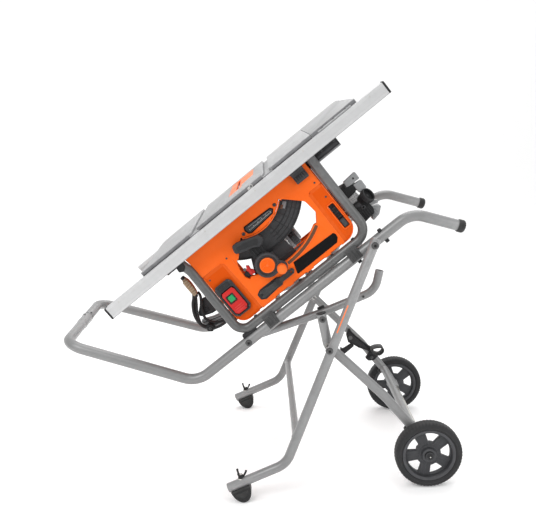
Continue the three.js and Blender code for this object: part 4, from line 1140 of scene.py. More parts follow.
# blank bar: a dark plate with a raised middle
part = Piece("blank_bar", None, "black_plastic")
part.add("ink",
         slab(soft([(250, 101), (392, 96), (396, 88), (394, 78), (384, 67), (238, 66),
                    (241, 76), (246, 90)], [3, 3, 3, 3, 4, 3, 3, 3], 3), -269.8, -267.4),
         slab(soft([(254, 96.6), (387, 92), (390, 86), (389, 79), (382, 71), (244, 70.4),
                    (248, 80)], 2, 3), -270.4, -269.2, bev=0.4))
part.done()

part = Piece("tick_plate", "scale_plate", "black_plastic")
part.add("ink", slab(soft([(199, 261), (204, 271.6), (297, 267.6), (304, 259), (294, 249),
                           (212, 243.2), (203, 248)], [4, 5, 6, 4, 5, 5, 4]),
                     -270.0, -268.2, bev=0.6))
part.add("dark", slab(soft([(203.5, 260.6), (207, 268.2), (295, 264.6), (299.6, 259),
                            (292, 252.2), (213, 246.6), (206.6, 250.6)],
                           [3, 4, 5, 3, 4, 4, 3]), -270.6, -269.8, bev=0.3))
for k in range(21):
    x, z = 213 + k * 3.9, 252.2 + k * 0.12
    tall = 5.4 if k % 4 == 0 else 3.2
    part.add("white", block(x, x + 0.9, -270.95, -270.5, z, z + tall, 0.1, 1))
part.add("plate", *[slab(line, -270.95, -270.5, bev=0.1) for line in (
    [(214, 262.6), (262, 261.8), (262, 262.9), (214, 263.7)],
    [(268, 261.8), (290, 261.2), (290, 262.2), (268, 262.8)])])
part.done()

# wrench stored on the panel, over a moulded well
part = Piece("blade_spanner", "blade_wrench", "cast_alloy")
part.add("black", slab(soft([(108, 92), (124, 100), (182, 99), (196, 92), (190, 72), (122, 66),
                             (108, 74)], 5), -269.4, -267.2))
part.add("clamp", slab(soft([(112, 78), (122, 72), (196, 76), (232, 76), (240, 84), (236, 93),
                             (196, 92), (150, 93), (124, 96), (112, 90), (122, 88), (125, 84),
                             (121, 80)], [3, 4, 3, 4, 4, 4, 3, 3, 4, 3, 2, 2, 2]),
                       -274.2, -270.4, holes=[circle((228, 84.4), 3.2, 20)], bev=0.9))
part.add("black", block(172, 187, -274.9, -268.4, 70.5, 97, 1.8, 3))
part.done()


# ------------------------------------------------------------------ shell
def basin(inset):
    """Section of the shell, open at the top."""
    return ([(16 + inset, 322), (16 + inset, 96)] + arc(62, 96, 46 - inset, -84, 0, 10)
            + arc(414, 91, 40 - inset, 0, 90, 10) + [(454 - inset, 322)])


part = Piece("shell_moulding", "housing_shell", "orange_plastic")
# the shell is in the darker orange: painted shade under the table
wall = slab(basin(0) + basin(3.0)[::-1], -250.2, 222, bev=0.6)
# openings in the right wall, the left wall and the floor
part.add("orange_shaded",
         carve(wall, block(450, 458, 10, 190, 75, 330, 0), block(12, 20, 60, 170, 120, 250, 0),
               block(96, 392, -214, 206, 40, 58.6, 0)),
         slab(basin(0.6), 218.8, 221.8, bev=0.9, holes=[soft(
             [(70, 60), (420, 60), (434, 84), (434, 300), (52, 300), (52, 84)], 14, 5)]))
part.done()

part = Piece("shell_ribs", None, "orange_plastic")
# ribs in the darker orange: painted shade
for y in range(-220, 210, 28):
    if not (54 < y < 176):
        part.add("orange_shaded", block(13.6, 16.6, y - 2.5, y + 2.5, 104, 306, 1.0))
    if not (4 < y < 196):
        part.add("orange_shaded", block(453.6, 456.6, y - 2.5, y + 2.5, 104, 306, 1.0))
for z in (104, 312):
    part.add("orange_shaded", block(13.4, 16.6, -248, 220, z - 3, z + 3, 1.1),
             block(453.4, 456.8, -248, 220, z - 3, z + 3, 1.1))
# rear wall: ribs round the window, bosses with screws
part.add("orange_shaded", block(40, 446, 221.4, 225.0, 304, 310, 1.1),
         *[block(x - 1.8, x + 1.8, 221.4, 225.0, 100, 304, 1.0) for x in (30, 38, 440, 447)])
for x, z in ((34, 84), (26, 306), (443, 84), (444, 306), (235, 311)):
    part.add("orange_shaded", solid([(7.2, 0), (6.8, 4.4), (6.0, 5.0)], (x, 221.4, z),
                                  TO_BACK, 24))
    part.add("bolt", screw((x, 226.2, z), TO_BACK, 3.6, 2.2))
for x, axis in ((13.8, TO_LEFT), (456.4, TO_RIGHT)):
    part.add("bolt", *screws([(x, -232, 300), (x, -232, 112)], axis, 3.4, 2.2))
# frame and bars over the left wall opening
part.add("orange_shaded", *[block(13.4, 16.6, *edge, 0.8) for edge in (
    (57, 60, 117, 253), (170, 173, 117, 253), (57, 173, 117, 120), (57, 173, 250, 253))])
part.add("black", *[slab([(60, z), (170, z), (170, z + 6), (60, z + 6)], 14.4, 17.2, "X", bev=1.0)
                    for z in range(130, 236, 15)])
# floor edges under the shell
part.add("orange_shaded", *[block(70, 404, y - 1.5, y + 1.5, 47.8, 51.2, 0.8)
                          for y in (-240, -226, 212)])
part.done()

# ------------------------------------------------------------------ main table
top, web = 357.0, 343.0  # upper face and underside of the table
left, right, front, back = -107.0, 513.0, -285.0, 245.0
flare = front + 17       # where the slots widen towards the front
THROAT = soft([(212, -150), (262, -150), (262, -72), (306, -40), (306, 190), (292, 204),
               (212, 204)], [3, 3, 6, 4, 6, 6, 6], 3)
clipped = [(left + 30, back), (left + 8, back - 12), (left, back - 40)]

part = Piece("table_casting", "main_table", "cast_alloy")
part.add("table",
         slab([(left, front), (right, front), (right, back)] + clipped, web, 348.2, "Z",
              holes=[THROAT], bev=0.6),
         slab([(left, front), (69, front), (78, flare), (78, back)] + clipped, 347.5, top, "Z",
              bev=0.8),
         slab([(106, front), (336, front), (345, flare), (345, back), (97, back), (97, flare)],
              347.5, top, "Z", holes=[THROAT], bev=0.8),
         slab([(373, front), (right, front), (right, back), (364, back), (364, flare)],
              347.5, top, "Z", bev=0.8))
# darker face along the front edge, a painted shadow; end skirts, ribs underneath
part.add("dark_cast_and_shade", *[block(a, b, front - 0.7, front + 1.6, 344.2, 355.2, 0.5)
                    for a, b in ((left + 1, 70), (105, 337), (372, right - 1))],
         block(left + 1, right - 1, front - 0.7, front + 1.6, 343.4, 347.0, 0.5))
part.add("cast", block(left, left + 6, front, back - 40, 322.2, 344, 1.4),
         block(right - 6, right, front + 3, back - 3, 322.2, 344, 1.4),
         *[block(x - 2, x + 2, front + 6, back - 22, 331, 344, 1.0) for x in (-60, -10, 20)],
         block(484, 488, front + 6, back - 6, 331, 344, 1.0))
for y in (front + 5, -160, -40, 80, 196):
    part.add("cast", block(left + 5, 12, y - 2, y + 2, 331, 344, 1.0))
    if y > front + 6:
        part.add("cast", block(460, right - 5, y - 2, y + 2, 331, 344, 1.0))
part.add("cast", block(left + 5, 46, front + 0.6, front + 5, 336, 344, 1.0),
         block(457, right - 5, front + 0.6, front + 5, 336, 344, 1.0))
# seats inside the throat
part.add("cast", *[solid([(6.5, 343.2), (6.5, 350.6), (6, 351.2)], (x, y, 0), UP, 20)
                   for x, y in ((222, -142), (252, -142), (222, 196), (286, 196))])
# small ring and mark on the front edge
part.add("white",
         slab(circle((296, 349.5), 5.6, 28), front - 1.6, front - 0.4,
              holes=[circle((296, 349.5), 3.8, 24)], bev=0.3),
         slab([(282, 345), (291, 345), (290, 353), (284, 351)], front - 1.5, front - 0.4,
              bev=0.3))
part.done()

part = Piece("throat_insert", "throat_plate", "orange_plastic")
insert = soft([(212.6, -149.4), (261.4, -149.4), (261.4, -71.6), (305.4, -39.6),
               (305.4, 189.6), (291.6, 203.4), (212.6, 203.4)], [3, 3, 6, 4, 6, 6, 6], 3)
part.add("orange_plate",
         slab(insert, 352.0, 356.7, "Z", bev=0.6,
              holes=[rect(239.5, 252, -118, 158, 5.5, 5), circle((230, 178), 8.5, 28)]))
part.add("red", slab(rect(238.2, 253.3, -119.3, 159.3, 6.2, 5), 351.0, 352.6, "Z",
                     holes=[rect(239.9, 251.6, -117.6, 157.6, 5.2, 5)], bev=0.3))
part.add("bolt", *screws([(222, -140, 355.4), (252, -140, 355.4), (222, 194, 355.4),
                          (286, 194, 355.4), (297, -34, 355.4)], UP, 3.2, 1.25))
part.add("orange_plate", *[block(262, 298, y, y + 2, 350.6, 352.4, 0.4)
                           for y in range(60, 141, 20)])
part.done()

# ------------------------------------------------------------------ extension table
ext_left, ext_right = 514.5, 668.0
part = Piece("extension_casting", "extension_table", "cast_alloy", "extension")
part.add("table", slab([(ext_left, front), (ext_right, front), (ext_right, 20),
                        (ext_right - 7, 30), (ext_right - 7, 90), (ext_right, 100),
                        (ext_right, back - 30), (ext_right - 18, back), (ext_left, back)],
                       web, top, "Z", bev=0.9, seg=3))
# painted shadow along the front face
part.add("dark_cast_and_shade", block(ext_left + 1, ext_right - 1, front - 0.7, front + 1.6, 343.6, 355.2,
                        0.5))
part.add("cast", block(ext_right - 6, ext_right, front, 15, 322.2, 344, 1.4),
         block(ext_right - 6, ext_right, 102, back - 32, 322.2, 344, 1.4),
         block(ext_left, ext_left + 6, front + 3, back - 3, 322.2, 344, 1.4),
         *[block(ext_left + 5, ext_right - 8, y - 2, y + 2, 328, 344, 1.0)
           for y in (-250, -130, -10, 110, 212)],
         *[block(x - 2, x + 2, front + 6, back - 6, 330, 344, 1.0) for x in (560, 610)])
for ya, yb in ((front - 20, front + 1), (back - 1, back + 20)):
    part.add("cast", block(ext_left + 20, ext_right - 20, ya, yb, 345.4, 350, 1.0))
    part.add("bolt", *screws([(x, (ya + yb) / 2, 349.8) for x in (550, 590, 632)], UP, 3.8, 2.4))
part.done()


# ------------------------------------------------------------------ rails
def rail_profile(outer, inner):
    """(y, z) section with a T slot in the inner face and a shallow step in the outer face."""
    d = 1 if inner > outer else -1
    lo, hi = 309, 345
    return [
        (outer, lo + 1.2), (outer + d * 1.2, lo), (outer + d * 12, lo),
        (outer + d * 13, lo + 1.4), (outer + d * 19, lo + 1.4), (outer + d * 20, lo),
        (inner - d, lo), (inner, lo + 1), (inner, lo + 10.5), (inner - d * 7, lo + 10.5),
        (inner - d * 7, lo + 25.5), (inner, lo + 25.5), (inner, hi - 1), (inner - d, hi),
        (outer + d * 11, hi), (outer + d * 10, hi - 1.2), (outer + d * 7, hi - 1.2),
        (outer + d * 6, hi), (outer + d * 1.2, hi), (outer, hi - 1.2), (outer, hi - 9),
        (outer + d * 0.5, hi - 9.5), (outer + d * 0.5, lo + 8.5), (outer, lo + 8)]


part = Piece("front_guide", "front_rail", "extruded_alloy", "extension")
part.add("rail", slab(rail_profile(-323, -289.5), -242, 748, "X", bev=0.35, seg=1))
# dark line along the rail's lower edge: painted shadow
part.add("rail_shadow", block(-241.6, 747.6, -322.7, -319, 308.5, 311.2, 0.5))
part.add("zinc", *screws([(x, -322.4, 336.5) for x in (-200, 120, 300, 470, 700)],
                         TO_FRONT, 2.6, 0.9, under=1))
part.done()
part = Piece("rear_guide", "rear_rail", "extruded_alloy", "extension")
part.add("rail", slab(rail_profile(281, 249.5), -243, 686, "X", bev=0.35, seg=1))
part.done()
for end, a, b, axis, face in (("left", -248, -242.3, TO_LEFT, -248 + 0.7),
                              ("right", 748.3, 754, TO_RIGHT, 754 - 0.7)):
    part = Piece("front_guide_cap_" + end, "front_rail_cap_" + end, "black_plastic",
                 "extension")
    part.add("black", slab(rect(-324, -288.5, 308, 346, 5, 5), a, b, "X", bev=1.8, seg=4))
    part.add("bolt", screw((face, -313, 316), axis, 2.8, 0.7, under=1))
    part.add("black", *[block(a + 1.4, b - 1.4, -320.5 + k * 8, -318.6 + k * 8, 345.4, 346.4,
                              0.4) for k in range(4)])
    part.done()

part = Piece("table_beams", "rail_carrier", "cast_alloy")
for x in (48, 431):
    part.add("cast", slab(rect(-285.3, 246, 323, 342.5, 2, 3), x, x + 24, "X", bev=1.0))
    part.add("zinc", *[block(x, x + 24, ya, yb, 320.4, 333.6, 1.2)
                       for ya, yb in ((-295.3, -280), (240, 255.3))])
    part.add("bolt", *[hexbolt((x + 12, y, 323.2), DOWN, 4.2, 2.6)
                       for y in (-262, -120, 60, 206)])
    part.add("cast", block(x + 8, x + 16, -270, 236, 318.6, 324, 1.4))
part.add("cast", block(70, 440, 224, 240, 323.2, 342.4, 1.4),
         block(90, 420, 229, 235, 318.8, 324, 1.4))
part.done()

# channel under the table's right side
part = Piece("slide_guide", "slide_channel", "black_plastic")
part.add("black", slab(soft([(-243, 276.2), (-213, 276.2), (-213, 302), (-218, 302),
                             (-218, 282), (-238, 282), (-238, 302), (-243, 302)], 1.2, 2),
                       455, 566, "X", bev=0.8))
part.add("dark", block(470, 560, -243.4, -241.8, 285.6, 293, 0.8))
part.add("plate", tube([(x, -241, 278.6) for x in (456, 470, 520, 556, 566)], 3.2, 16,
                       ends=CLOSED))
part.add("bolt", *screws([(x, -242.6, 298) for x in (468, 512, 556)], TO_FRONT, 3, 2))
part.add("black", block(456, 566, -236, -220, 279, 284, 1.4))
part.done()

# lever that locks the rails
part = Piece("rail_lock_handle", "rail_lock_lever", "black_plastic", "rail_lock")
part.add("dark",
         solid([(5.6, 0), (6.3, 0.8), (6.3, 41.2), (5.6, 42)], (400, -276.5, 302), TO_RIGHT, 28),
         slab(soft([(-282.6, 303), (-272, 304), (-270, 288), (-269.6, 272), (-274, 268.4),
                    (-280, 268.4), (-283, 276), (-281, 290)], 2.5), 400.3, 441.7, "X",
              bev=2.0, seg=4),
         *[block(405 + k * 7, 408.4 + k * 7, -284.2, -281.4, 272, 288, 0.9) for k in range(5)])
part.add("bolt", screw((399.6, -276.5, 302), TO_LEFT, 3.2, 1.6))
part.done()


# ------------------------------------------------------------------ trunnions and carriage
def sector(r0, r1, a0, a1, ya, yb, steps, bev=0.8, holes=()):
    outline = tilt_arc(r1, a0, a1, steps) + tilt_arc(r0, a1, a0, steps)
    return slab(outline, ya, yb, holes=holes, bev=bev)


def spoke(r0, r1, angle, width, ya, yb, bev):
    ends = [tilt_arc(r, angle, angle, 1)[0] for r in (r0, r1)]
    return strap(ends, width, ya, yb, bev)


def add_hangers(part, ya, yb, bolt_y, axis):
    """Two blocks that hang a track from the table, each with two bolts."""
    for xa, xb in ((82.4, 111.6), (374.4, 401.6)):
        part.add("cast", block(xa, xb, ya, yb, 292, 342.4, 1.4))
        part.add("bolt", *[hexbolt(((xa + xb) / 2, bolt_y, z), axis, 4.2, 2.6)
                           for z in (314, 332)])


part = Piece("tilt_track_front", "front_trunnion", "black_plastic")
part.add("dark", sector(127.4, 191.6, -72, 72, -248.6, -243.2, 72, 1.2))
part.add("black", sector(127.2, 131.6, -70, 47, -252.6, -243.4, 60, 1.2),
         sector(187.4, 191.8, -62, 60, -251.6, -243.4, 60, 1.2),
         sector(152, 154.4, 3, 46, -250.2, -247.8, 30, 0.7),
         sector(164, 165.8, 3, 46, -249.8, -247.8, 30, 0.5),
         sector(176, 177.4, 3, 46, -249.8, -247.8, 30, 0.5),
         *[spoke(132, 187.6, angle, 2.0, -250.0, -247.8, 0.6) for angle in (8, 18, 28, 38)])
part.add("scale", slab(tilt_arc(141, 33.5, 38.5, 5) + tilt_arc(133.6, 38.5, 33.5, 5),
                       -252.0, -248.2, bev=0.5))
part.add("dark_cast_and_shade", sector(137, 148, 35, 43, -250.6, -248.2, 5, 0.5))
add_hangers(part, -249, -243, -242.6, TO_BACK)
part.done()
part = Piece("tilt_track_rear", "rear_trunnion", "cast_alloy")
part.add("cast", sector(127.4, 151.6, -72, 72, 192.2, 197.8, 72, 1.2),
         sector(128, 131, -70, 70, 190.9, 193, 60), sector(148, 151, -70, 70, 195.8, 199.6, 60))
add_hangers(part, 192.2, 197.8, 191.6, TO_FRONT)
part.done()

part = Piece("tilt_carriage", "bevel_carriage", "cast_alloy", "carriage")
part.add("dark", sector(96.4, 244.6, -25.8, 7.8, -241.8, -236.2, 26, 1.2,
                        holes=[circle(SHAFT, 6.6, 28)]))
part.add("cast", sector(96.4, 244.6, -25.8, 7.8, 182.2, 187.8, 26, 1.2))
for r in (120, 166, 228):
    part.add("dark", sector(r, r + 3, -24, 6, -243.0, -241.0, 18, 0.7))
    part.add("cast", sector(r, r + 3, -24, 6, 187.2, 190.4, 18, 0.9))
part.add("cast", *[spoke(100, 241, angle, 3.0, 187.2, 190.4, 0.9) for angle in (-24, -9, 6)])
# shaft boss, shoe on the track, tie bar, guide post and the lugs that hold it
part.add("dark",
         hollow([(6.7, 0), (13, 0), (14, 1), (14, 7), (13, 7.8), (6.7, 7.8)],
                at(SHAFT, -242), TO_FRONT, 36),
         sector(195.4, 212.6, -21.8, -6.2, -249.8, -241, 12, 1.2))
part.add("cast", block(193.3, 212.7, -236.6, 182.6, 112.3, 130.7, 3, 3),
         block(199, 207, -236, 182, 108.6, 113, 1.5),
         block(217.4, 270.6, 154.3, 188, 96.3, 105.7, 2),
         block(217.4, 263.6, 154.3, 188, 278.3, 287.7, 2),
         block(217.4, 270.6, 182.3, 187.7, 96.5, 287.5, 1.6))
part.add("steel", solid([(5.9, 100), (5.9, 284)], (256, 166, 0), UP, 28))
part.add("bolt", *screws([(228, 188, 100), (262, 188, 100), (228, 188, 283), (250, 188, 283)],
                         TO_BACK, 4, 2.4))
part.add("zinc", washer(5.7, 9.5, 1.8, (230, 166, 288.0), UP))
part.done()

LIFT_AXIS = (230, 166, 0)
rod = [(4.6, 88.2), (4.6, 96), (4.9, 104)]
for k in range(71):
    z = 106.2 + 2.4 * k
    rod += [(3.9, z), (5.0, z + 1.0), (5.0, z + 1.4)]
rod += [(4.6, 277), (4.6, 299.4), (4.0, 300)]
part = Piece("raising_screw", "lift_screw", "plain_steel", "screw")
part.add("zinc", solid(rod, LIFT_AXIS, UP, 20),
         hollow([(4.7, 84.3), (8.6, 84.3), (9.8, 86), (9.8, 93.6), (9.2, 95.3), (4.7, 95.3)],
                LIFT_AXIS, UP, 36))
part.add("steel", *spun((8.6, 11.0, -0.9, 0.9, 85.2, 90.4, 0.4, 1),
                        [22.5 * k for k in range(16)], Matrix.Translation(LIFT_AXIS), "Z"))
part.done()

# ------------------------------------------------------------------ crank handwheel
DISC = [(6, 290), (34.5, 290), (36.4, 292), (36.8, 298), (36.6, 303), (35.2, 306.8),
        (32.6, 308.6), (30.2, 308.4), (28.2, 306.6), (26.2, 305.4), (23.4, 305.2), (23, 300),
        (6, 300)]
part = Piece("crank_wheel", "handwheel", "black_plastic", "wheel_crank")
part.add("dark", hollow(DISC, at(SHAFT), TO_FRONT, 72))
part.add("orange", solid([(21.8, 296), (22.3, 303), (22.2, 306.6), (21.2, 308.4), (19.4, 308.9),
                          (17.6, 308.2), (0.01, 307.9)], at(SHAFT), TO_FRONT, 56))
# three shallow curved bars round a small boss
for k in range(3):
    bar = [polar(SHAFT, r, degrees(0.4 + 0.035 * r) + 120 * k) for r in (5, 8, 11, 14, 16.2)]
    part.add("orange", strap(bar, 1.5, -308.9, -307.4, 0.5))
part.add("orange", solid([(3.6, 307), (3.6, 308.4), (3.0, 308.9)], at(SHAFT), TO_FRONT, 24))
# arm from the shaft to the knob
arm_angle = degrees(atan2(KNOB[1] - SHAFT[1], KNOB[0] - SHAFT[0]))
arm = [polar(SHAFT, 20, arm_angle + 90)]
arm += polars(KNOB, 17.5, [arm_angle + a for a in range(90, -91, -10)])
arm += [polar(SHAFT, 20, arm_angle - 90)]
part.add("dark", slab(arm, -305.4, -298.2, bev=1.8, seg=3),
         solid([(15.6, 300), (15.6, 306.4), (14.8, 307.4), (13.2, 307.6), (12.6, 306.4)],
               at(KNOB), TO_FRONT, 44))
part.add("steel", solid([(5.9, -118), (5.9, 299)], at(SHAFT), TO_FRONT, 32))
part.add("zinc", solid([(3.9, 304), (3.9, 341)], at(KNOB), TO_FRONT, 24))
part.add("dark", *[solid([(1.25, 292), (1.25, 302), (0.01, 302.6)], at(point), TO_FRONT, 8)
                   for point in polars(SHAFT, 36.0, range(0, 360, 12))])
part.done()

part = Piece("crank_handle", "crank_knob", "orange_plastic", "crank_grip")
part.add("orange",
         turned([(4.5, 310.6), (10.4, 310.6), (11.6, 311.8), (12.6, 315), (13.9, 322),
                 (14.0, 336), (13.8, 343.2), (12.4, 346.2), (10.6, 347.6), (5, 347.9),
                 (0.01, 347.8), (0.01, 342), (4.5, 342), (4.5, 307.3)],
                at(KNOB), TO_FRONT, 48),
         *[solid([(0.01, 320), (1.0, 321), (1.0, 341), (0.01, 342)], at(point), TO_FRONT, 8)
           for point in polars(KNOB, 13.3, range(0, 360, 30))])
part.add("dark", hollow([(4.6, 309.3), (12.6, 309.3), (13.0, 310.0), (12.6, 311.0),
                         (4.6, 311.0)], at(KNOB), TO_FRONT, 40))
part.done()

# ------------------------------------------------------------------ bevel lock lever
x, z = SHAFT
part = Piece("bevel_lock_handle", "bevel_lock_lever", "black_plastic", "bevel_lock")
part.add("dark", slab(soft([(140, 236), (146, 252), (160, 252), (178, 247), (224, 231),
                            (231, 217), (219, 204), (206, 202), (192, 211), (176, 215),
                            (152, 222), (141, 228)], [4, 4, 4, 6, 6, 6, 5, 5, 5, 5, 5, 4]),
                      -297.3, -277.2, bev=3.4, seg=5))
part.add("black",
         slab(soft([(150, 244), (176, 240), (214, 227), (217, 219), (206, 211), (180, 222),
                    (152, 231)], 4, 3), -297.9, -296.6, bev=0.6),
         slab(soft([(x - 20, z - 8), (x - 20, z + 50), (x - 15, 226), (x + 15, 226),
                    (x + 20, z + 30), (x + 20, z - 8)], [8, 6, 3, 3, 6, 8]),
              -283.8, -276.8, holes=[circle(SHAFT, 6.7, 28)], bev=1.3, seg=3),
         hollow([(6.8, 276.8), (20.8, 276.8), (22, 278), (22, 283.6), (21, 285.6), (14, 288.6),
                 (6.8, 289.2)], at(SHAFT), TO_FRONT, 48),
         *[block(x + k - 1.3, x + k + 1.3, -286.2, -282.8, z + 20, 214, 0.9)
           for k in (-9, 0, 9)],
         slab(soft([(x - 26, z - 6), (x - 34, z - 24), (x - 22, z - 34), (x - 6, z - 26),
                    (x - 8, z - 6)], 5), -282.6, -277.4, bev=1.0))
part.done()

# red tilt stop just inside the left end of the opening
part = Piece("tilt_stop", None, "stop_red")
part.add("red",
         slab(soft([(136, 181), (144, 174), (142, 163), (147, 158), (146, 146), (130, 148),
                    (131, 160), (128, 168), (134, 174)], [3, 3, 2, 3, 3, 3, 2, 2, 2]),
              -263.5, -254.5, bev=1.6, seg=3),
         slab(soft([(134, 166), (140, 166), (140, 152), (134, 152)], 2, 3), -265.2, -262.8,
              bev=0.8))
part.add("black", slab(soft([(112, 160), (128, 168), (134, 160), (132, 146), (118, 144),
                             (110, 150)], 4), -257.5, -251.0, bev=1.0))
part.add("bolt", solid([(4.2, 255), (4.4, 262), (3.6, 263.4), (0.01, 263.6)], (126, 0, 172),
                       TO_FRONT, 24))
part.done()

# ------------------------------------------------------------------ arbor case, motor, blade
arbor_axis, motor_axis = (0, *ARBOR), (0, *MOTOR)
on_motor = Matrix.Translation(motor_axis)
part = Piece("arbor_housing", "arbor_case", "cast_alloy", "lift")
hull = polars(ARBOR, 17, range(20, 186, 11)) + polars(MOTOR, 40, range(190, 381, 10))
# hull in the dark cast colour: painted shade deep inside the body
part.add("dark_cast_and_shade", slab(hull, 252.2, 262.8, "X", holes=[circle(ARBOR, 8.6, 32)], bev=1.8,
                       seg=3))
part.add("cast",
         hollow([(8.7, 246.8), (14.5, 246.8), (16.4, 249), (16.8, 253), (8.7, 253)],
                arbor_axis, TO_RIGHT, 36),
         block(252.4, 262.6, 88, 156, 122.4, 159.6, 2.2, 3),
         block(218.4, 267.6, 154.7, 177.8, 117, 131, 2.4, 3),
         block(218.4, 267.6, 154.7, 177.8, 151, 165, 2.4, 3))
part.add("zinc", *[washer(5.6, 8.4, 1.6, (230, 166, z - 0.8), UP) for z in (117, 165)])
part.add("bolt", *screws([(251.8, y, z) for y, z in (
    (36, 200), (24, 160), (98, 92), (98, 140), (44, 88), (56, 150))], TO_LEFT, 4.0, 2.6))
part.add("cast", *spun((249.8, 252.8, -1.5, 1.5, 18, 40, 0.9), range(120, 241, 30), on_motor))
part.done()

part = Piece("motor_can", "motor", "black_plastic", "lift")
part.add("dark", solid([(36.8, 263.6), (37, 264.4), (36.6, 282), (34.6, 284.6), (30, 285.2)],
                       motor_axis, TO_RIGHT, 72))
part.add("plate", solid([(29, 284.8), (28.4, 290), (26, 292.6), (12, 292.9)],
                        motor_axis, TO_RIGHT, 56))
part.add("dark", *spun((266, 281, -1.3, 1.3, 35.8, 37.6, 0.5), range(0, 360, 15), on_motor))
part.add("black", *spun((290.5, 293.0, -1.6, 1.6, 13, 25, 0.8), range(0, 360, 30), on_motor))
part.add("bolt", *screws([(289.8, *point) for point in polars(MOTOR, 26, (45, 225))],
                         TO_RIGHT, 2.6, 2.6))
part.done()

# one tooth: fraction of the pitch, radius
TEETH = 40
TOOTH = ((0.0, 126.8), (0.05, 126.8), (0.09, 119.5), (0.16, 115.6), (0.26, 114.8),
         (0.36, 116.4), (0.44, 120.2), (0.50, 123.2), (0.72, 124.8), (0.94, 126.6))


def blade_slot(angle):
    """Narrow wavy slot in the disc, starting at an angle in degrees."""
    edges = []
    for half in (0.008, -0.008):
        edges.append([polar(ARBOR, 92 + j * 1.6, angle + degrees(0.035 * sin(j * 0.8) + half))
                      for j in range(9)])
    return edges[0] + edges[1][::-1]


rim = [polar(ARBOR, r, -(i + f) * 360 / TEETH) for i in range(TEETH) for f, r in TOOTH]
slots = [blade_slot(90 * k + 18) for k in range(4)]
part = Piece("saw_disc", "blade", "plain_steel", "saw_blade")
part.add("steel", slab(rim, 242.3, 244.1, "X", holes=[circle(ARBOR, 8.5, 36)] + slots,
                       bev=0.12, seg=1))
# tips
part.add("zinc", *spun((242.0, 244.4, 120.8, 127.0, -0.9, 1.1, 0.2, 1),
                       [-(i + 0.01) * 360 / TEETH for i in range(TEETH)],
                       Matrix.Translation(arbor_axis)))
part.done()

part = Piece("arbor_spindle", "arbor_shaft", "plain_steel", "saw_blade")
part.add("steel",
         solid([(6.6, 226.5), (7.9, 227.6), (7.9, 262.6)], arbor_axis, TO_RIGHT, 36),
         hollow([(7, 244.6), (22, 244.6), (22, 246.4), (19, 248.6), (12, 250.3), (7, 250.3)],
                arbor_axis, TO_RIGHT, 44))
part.add("zinc",
         hollow([(7, 238.7), (16, 238.7), (19.6, 239.8), (19.8, 241.7), (7, 241.7)],
                arbor_axis, TO_RIGHT, 44),
         loft([[(x, *point) for point in circle(ARBOR, r, 6)] for x, r in (
             (238.9, 7), (238.9, 12.6), (231.6, 12.6), (230.7, 11.2), (230.7, 7))]))
part.done()

# ------------------------------------------------------------------ switch
part = Piece("switch_frame", "switch_bezel", "black_plastic")
inner = soft([(24.6, 90), (31, 81), (65, 81), (71.4, 90), (71.4, 156), (66, 162), (30, 162),
              (24.6, 156)], 3)
part.add("dark", slab(soft([(18, 86), (28, 75), (68, 75), (78, 86), (78, 176), (70, 186),
                            (26, 186), (18, 176)], 4), -273.8, -268.3, holes=[inner],
                      bev=1.8, seg=3))
part.add("black",
         slab(soft([(28, 166), (68, 166), (68, 178), (63, 182), (33, 182), (28, 178)], 3, 3),
              -274.6, -273.0),
         *[block(34, 62, -275.2, -274.0, 169 + k * 4, 170.8 + k * 4, 0.4) for k in range(3)],
         block(22.8, 73.2, -268.6, -250.8, 79.8, 85, 0.8),
         block(22.8, 73.2, -268.6, -250.8, 160, 181.2, 0.8),
         block(22.8, 27, -268.6, -250.8, 80, 181, 0.8),
         block(69, 73.2, -268.6, -250.8, 80, 181, 0.8),
         block(26, 70, -262.5, -251.5, 82, 162, 0.8))
part.add("bolt", *screws([(23.6, -273.0, 179), (72.4, -273.0, 179), (25, -273.0, 84),
                          (71, -273.0, 84)], TO_FRONT, 2.2, 1.4, under=1))
part.done()

part = Piece("stop_flap", "switch_paddle", "orange_plastic", "stop_paddle")
flap = soft([(26.2, 92), (33, 83.3), (63, 83.3), (69.8, 92), (69.8, 153), (64, 159.8),
             (32, 159.8), (26.2, 153)], 4)
part.add("red", slab(flap, -278.2, -272.8, holes=[rect(34.5, 55.5, 122, 144, 1.5, 3)], bev=1.7,
                     seg=4))
part.add("black", strap(rect(33.0, 57.0, 120.5, 145.5, 2), 2.6, -278.8, -277.4, 0.5,
                        closed=True))
part.add("red", block(33, 63, -279.0, -277.4, 90.5, 93.5, 0.6),
         block(33, 63, -279.0, -277.4, 97.0, 100, 0.6),
         block(35, 61, -279.0, -277.4, 103.5, 106.5, 0.6))
part.add("black", *[solid([(1.5, 0), (1.4, 0.7), (0.01, 0.8)], (x, -278.0, 88), TO_FRONT, 14)
                    for x in (62.2, 66.0)])
part.add("red", solid([(2.4, 0), (2.4, 36)], (30, -275.2, 157.2), TO_RIGHT, 16))
part.done()

part = Piece("start_key", "start_button", "start_green", "start_key")
part.add("green", slab(rect(35.6, 54.4, 123.2, 142.8, 2.6), -276.9, -268.2, bev=1.3, seg=4),
         slab(rect(43.9, 46.1, 127.5, 138.5, 0.6), -277.3, -276.4, bev=0.3))
part.done()

# ------------------------------------------------------------------ right side: storage bracket
part = Piece("fence_holder", "fence_storage_bracket", "cast_alloy")
part.add("dark", slab(soft([(-224.6, 92), (-218, 88.4), (-158, 88.4), (-150.4, 94),
                            (-150.4, 184), (-156, 189.6), (-218, 189.6), (-224.6, 184)], 3, 3),
                      457.2, 469.8, "X", bev=1.8, seg=3))
